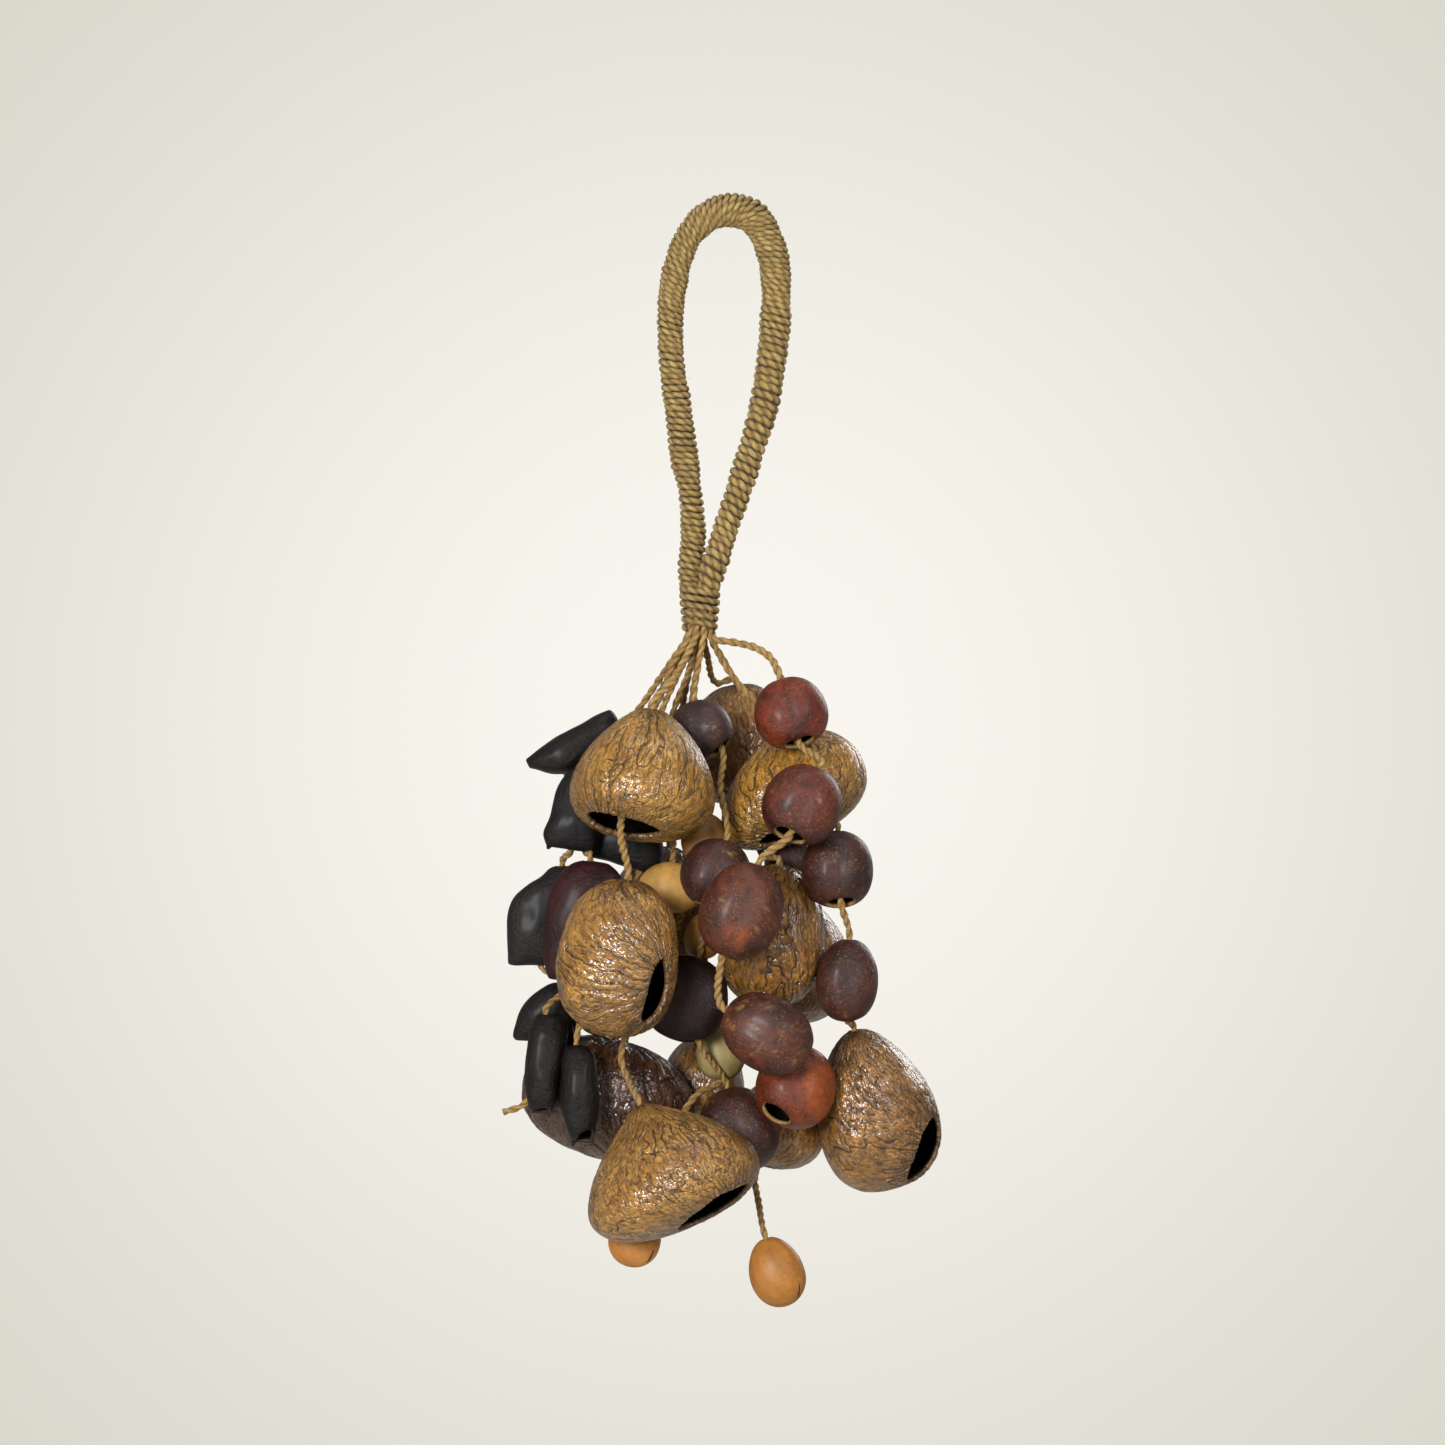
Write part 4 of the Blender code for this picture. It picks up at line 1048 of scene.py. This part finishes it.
# The doubled cords that the twine is wound over.
out = spokes(loop_line[:, :3], math.tau * np.arange(CORE_SIDES) / CORE_SIDES)
core_rings = loop_line[:, None, :3] + out * (loop_line[:, 3] - CORE_COVER)[:, None, None]
core = mesh_of_rings("loop_core", core_rings, False, twine_finish)
# Painted shade: the cores show only between the turns, so they are painted the twine's dark groove colour.
paint(core, "skin", np.ones((core_rings.size // 3, 3)) * linear(TWINE_COLOURS[2]))
follow(core, "grain", core_rings * 0.3)
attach(core, "root")


# The whipping
# The same twine, wound five and a half times round both legs of the loop and all the cords, to
# hold the bundle together. It is hollow between the cores and the cords, so that some light shows
# through it from the sides.
WHIPPING_TOP_RADIUS = 6.6
WHIPPING_BOTTOM_RADIUS = 5.9
WHIPPING_PITCH = 2.3
WHIPPING_LEAN = 0.4
even = np.ones(60)  # along the whipping's middle line
whipping_line = np.stack([
    WHIPPING_CENTRE[0] * even,
    WHIPPING_CENTRE[1] * even,
    np.linspace(WHIPPING_TOP - 1, WHIPPING_BOTTOM + 1, len(even)),
], axis=1)
whipping_path, outwards, thick = wound(
    whipping_line, np.linspace(WHIPPING_TOP_RADIUS, WHIPPING_BOTTOM_RADIUS, len(even)),
    WHIPPING_PITCH * even, TWINE_SHARE, WHIPPING_LEAN * even, 1500,
)
whipping = twine_piece(
    "whipping_twine", whipping_path, thick, TWINE_LAY, TWINE_POINTS, TWINE_OFFSET, TWINE_COLOURS,
    twine_finish, 1510, outwards,
)
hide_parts("whipping")


# Loose fibres
# Ends of plant fibre that stand out from the twine and the cords where they were rolled by hand,
# each thinner than a hair brush's bristle and a few millimetres long.
FIBRE_RADIUS = 0.09
FIBRE_COUNTS = {"loop": 130, "cord": 14}  # on the loop's twine, and on each cord
FIBRE_COLOURS = ("#B08A4A", "#D8B878")
FIBRE_RINGS = 5
FIBRE_SIDES = 3
HIDDEN_POINTS = 16  # of each cord's line, inside the whipping
TWINE_RADIUS = 1.1  # about that of the loop's twine


def loose_fibres(name, lines, seed):
    """Thin curved hairs that leave each line sideways; a line has its points, radius and count of hairs."""
    rng = np.random.default_rng(seed)
    rings, quads, shades = [], [], []
    sides = FIBRE_SIDES
    turn = math.tau * np.arange(sides) / sides
    t = np.linspace(0, 1, FIBRE_RINGS)[:, None]
    for points, radius, count in lines:
        side, up = sides_of(points)
        ways = unit(np.gradient(points, axis=0))
        for at in rng.integers(8, len(points) - 8, count):
            angle = rng.uniform(0, math.tau)
            out = side[at] * math.cos(angle) + up[at] * math.sin(angle)
            length = rng.uniform(1.2, 3.4)
            bend = ways[at] * rng.choice((-1, 1)) * rng.uniform(0.5, 1.2)
            path = points[at] + out * (radius * 0.9 + length * 0.45 * t) + bend * length * t**1.5
            first = FIBRE_RINGS * sides * len(rings)
            for k, j in itertools.product(range(FIBRE_RINGS - 1), range(sides)):
                here, after = first + sides * k + j, first + sides * k + (j + 1) % sides
                quads.append((here, after, after + sides, here + sides))
            last = first + sides * (FIBRE_RINGS - 1)
            quads += [(first + 2, first + 1, first), (last, last + 1, last + 2)]
            rings.append(path[:, None] + (FIBRE_RADIUS * (1.1 - t))[..., None] * spokes(path, turn))
            shade = between(linear(FIBRE_COLOURS[0]), linear(FIBRE_COLOURS[1]), rng.uniform())
            shades.append(np.ones((FIBRE_RINGS * sides, 3)) * shade)
    piece = mesh_piece(name, np.array(rings), quads, cord_finish)
    paint(piece, "skin", shades)
    follow(piece, "grain", np.array(rings).reshape(-1, 3))
    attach(piece, "root")


haired = [(loop_path, TWINE_RADIUS, FIBRE_COUNTS["loop"])]
for cord in CORDS.values():
    haired.append((cord_route(cord)[0][HIDDEN_POINTS:], cord.radius, FIBRE_COUNTS["cord"]))
loose_fibres("loose_fibres", haired, 1600)


# The surroundings
# Plain studio: a pale floor well below the rattle, a cream background with a painted pool of light
# behind it, a soft key light from the upper left, and the camera level with the rattle.
FLOOR_DEPTH = 620
FLOOR_RADIUS = 1000
FLOOR_SIDES = 64
FLOOR_COLOUR = "#D2CFC3"
CAMERA_DISTANCE = 2.0  # in metres, as the rest of what follows
SENSOR_WIDTH = 36  # in millimetres
FRAME_WIDTH = 0.448  # what the picture shows across, at the rattle
TARGET = (-0.0033, 0.0, -0.1533)
# The cream background, painted lightest in the middle as a painted pool of light.
BACKGROUND_MIDDLE = "#F9F6EF"
BACKGROUND_EDGE = "#D8D5C9"
BACKGROUND_SPREAD = 0.19  # the angle from the middle at which the edge colour is reached
LIGHTING_COLOUR = (1.0, 0.985, 0.96, 1)
LIGHTING_STRENGTH = 0.28


def pale_floor():
    made = Finish("pale_floor")
    mottle = made.noise(made.place(1), 3.0)
    made.set(Base_Color=(*linear(FLOOR_COLOUR), 1), Roughness=made.spread(mottle, 0, 1, 0.7, 0.8))
    return made.material


turn = math.tau * np.arange(FLOOR_SIDES) / FLOOR_SIDES
rim = np.stack((FLOOR_RADIUS * np.cos(turn), FLOOR_RADIUS * np.sin(turn), 0 * turn - FLOOR_DEPTH), axis=-1)
mesh_piece("floor", rim, [list(range(FLOOR_SIDES))], pale_floor())

# The camera sees the cream background, and everything else the even light of the studio.
world = bpy.data.worlds.new("studio")
bpy.context.scene.world = world
studio = Nodes(world)
way = studio.node("ShaderNodeTexCoord").outputs["Generated"]
ahead = studio.node("ShaderNodeSeparateXYZ", {0: way}).outputs["Y"]
away = studio.maths("Math", "ARCCOSINE", ahead)
# Painted light: the background is lightest straight behind the rattle and fades to the edge colour.
fade = studio.node(
    "ShaderNodeMapRange", {0: away, 1: 0.0, 2: BACKGROUND_SPREAD}, interpolation_type="SMOOTHSTEP"
).outputs[0]
cream = studio.blended(fade, (*linear(BACKGROUND_MIDDLE), 1), (*linear(BACKGROUND_EDGE), 1))
shown = studio.node("ShaderNodeBackground", {"Color": cream, "Strength": 1.0}).outputs[0]
lighting = studio.node(
    "ShaderNodeBackground", {"Color": LIGHTING_COLOUR, "Strength": LIGHTING_STRENGTH}
).outputs[0]
seen = studio.node("ShaderNodeLightPath").outputs["Is Camera Ray"]
chosen = studio.node("ShaderNodeMixShader", {0: seen, 1: lighting, 2: shown}).outputs[0]
studio.tree.links.new(chosen, studio.tree.nodes["World Output"].inputs["Surface"])


def soft_light(name, place, size, power):
    light = bpy.data.lights.new(name, "AREA")
    light.shape = "DISK"
    light.size = size
    light.energy = power
    lamp = bpy.data.objects.new(name, light)
    lamp.location = place
    aim = Vector(TARGET) - Vector(place)
    lamp.rotation_mode = "QUATERNION"
    lamp.rotation_quaternion = aim.to_track_quat("-Z", "Y")
    bpy.context.scene.collection.objects.link(lamp)


soft_light("key_light", (-0.6, -1.6, 0.05), 0.5, 30)
soft_light("fill_light", (0.9, -1.4, 0.4), 0.7, 9)
soft_light("top_light", (0.2, -0.3, 1.3), 0.8, 6)
soft_light("back_light", (0.9, 1.5, 0.4), 0.8, 9)

lens = bpy.data.cameras.new("camera")
lens.sensor_width = SENSOR_WIDTH
lens.lens = SENSOR_WIDTH * CAMERA_DISTANCE / FRAME_WIDTH
camera = bpy.data.objects.new("camera", lens)
camera.location = (TARGET[0], TARGET[1] - CAMERA_DISTANCE, TARGET[2])
camera.rotation_euler = (math.pi / 2, 0, 0)
bpy.context.scene.collection.objects.link(camera)
bpy.context.scene.camera = camera
bpy.context.scene.view_settings.view_transform = "Standard"
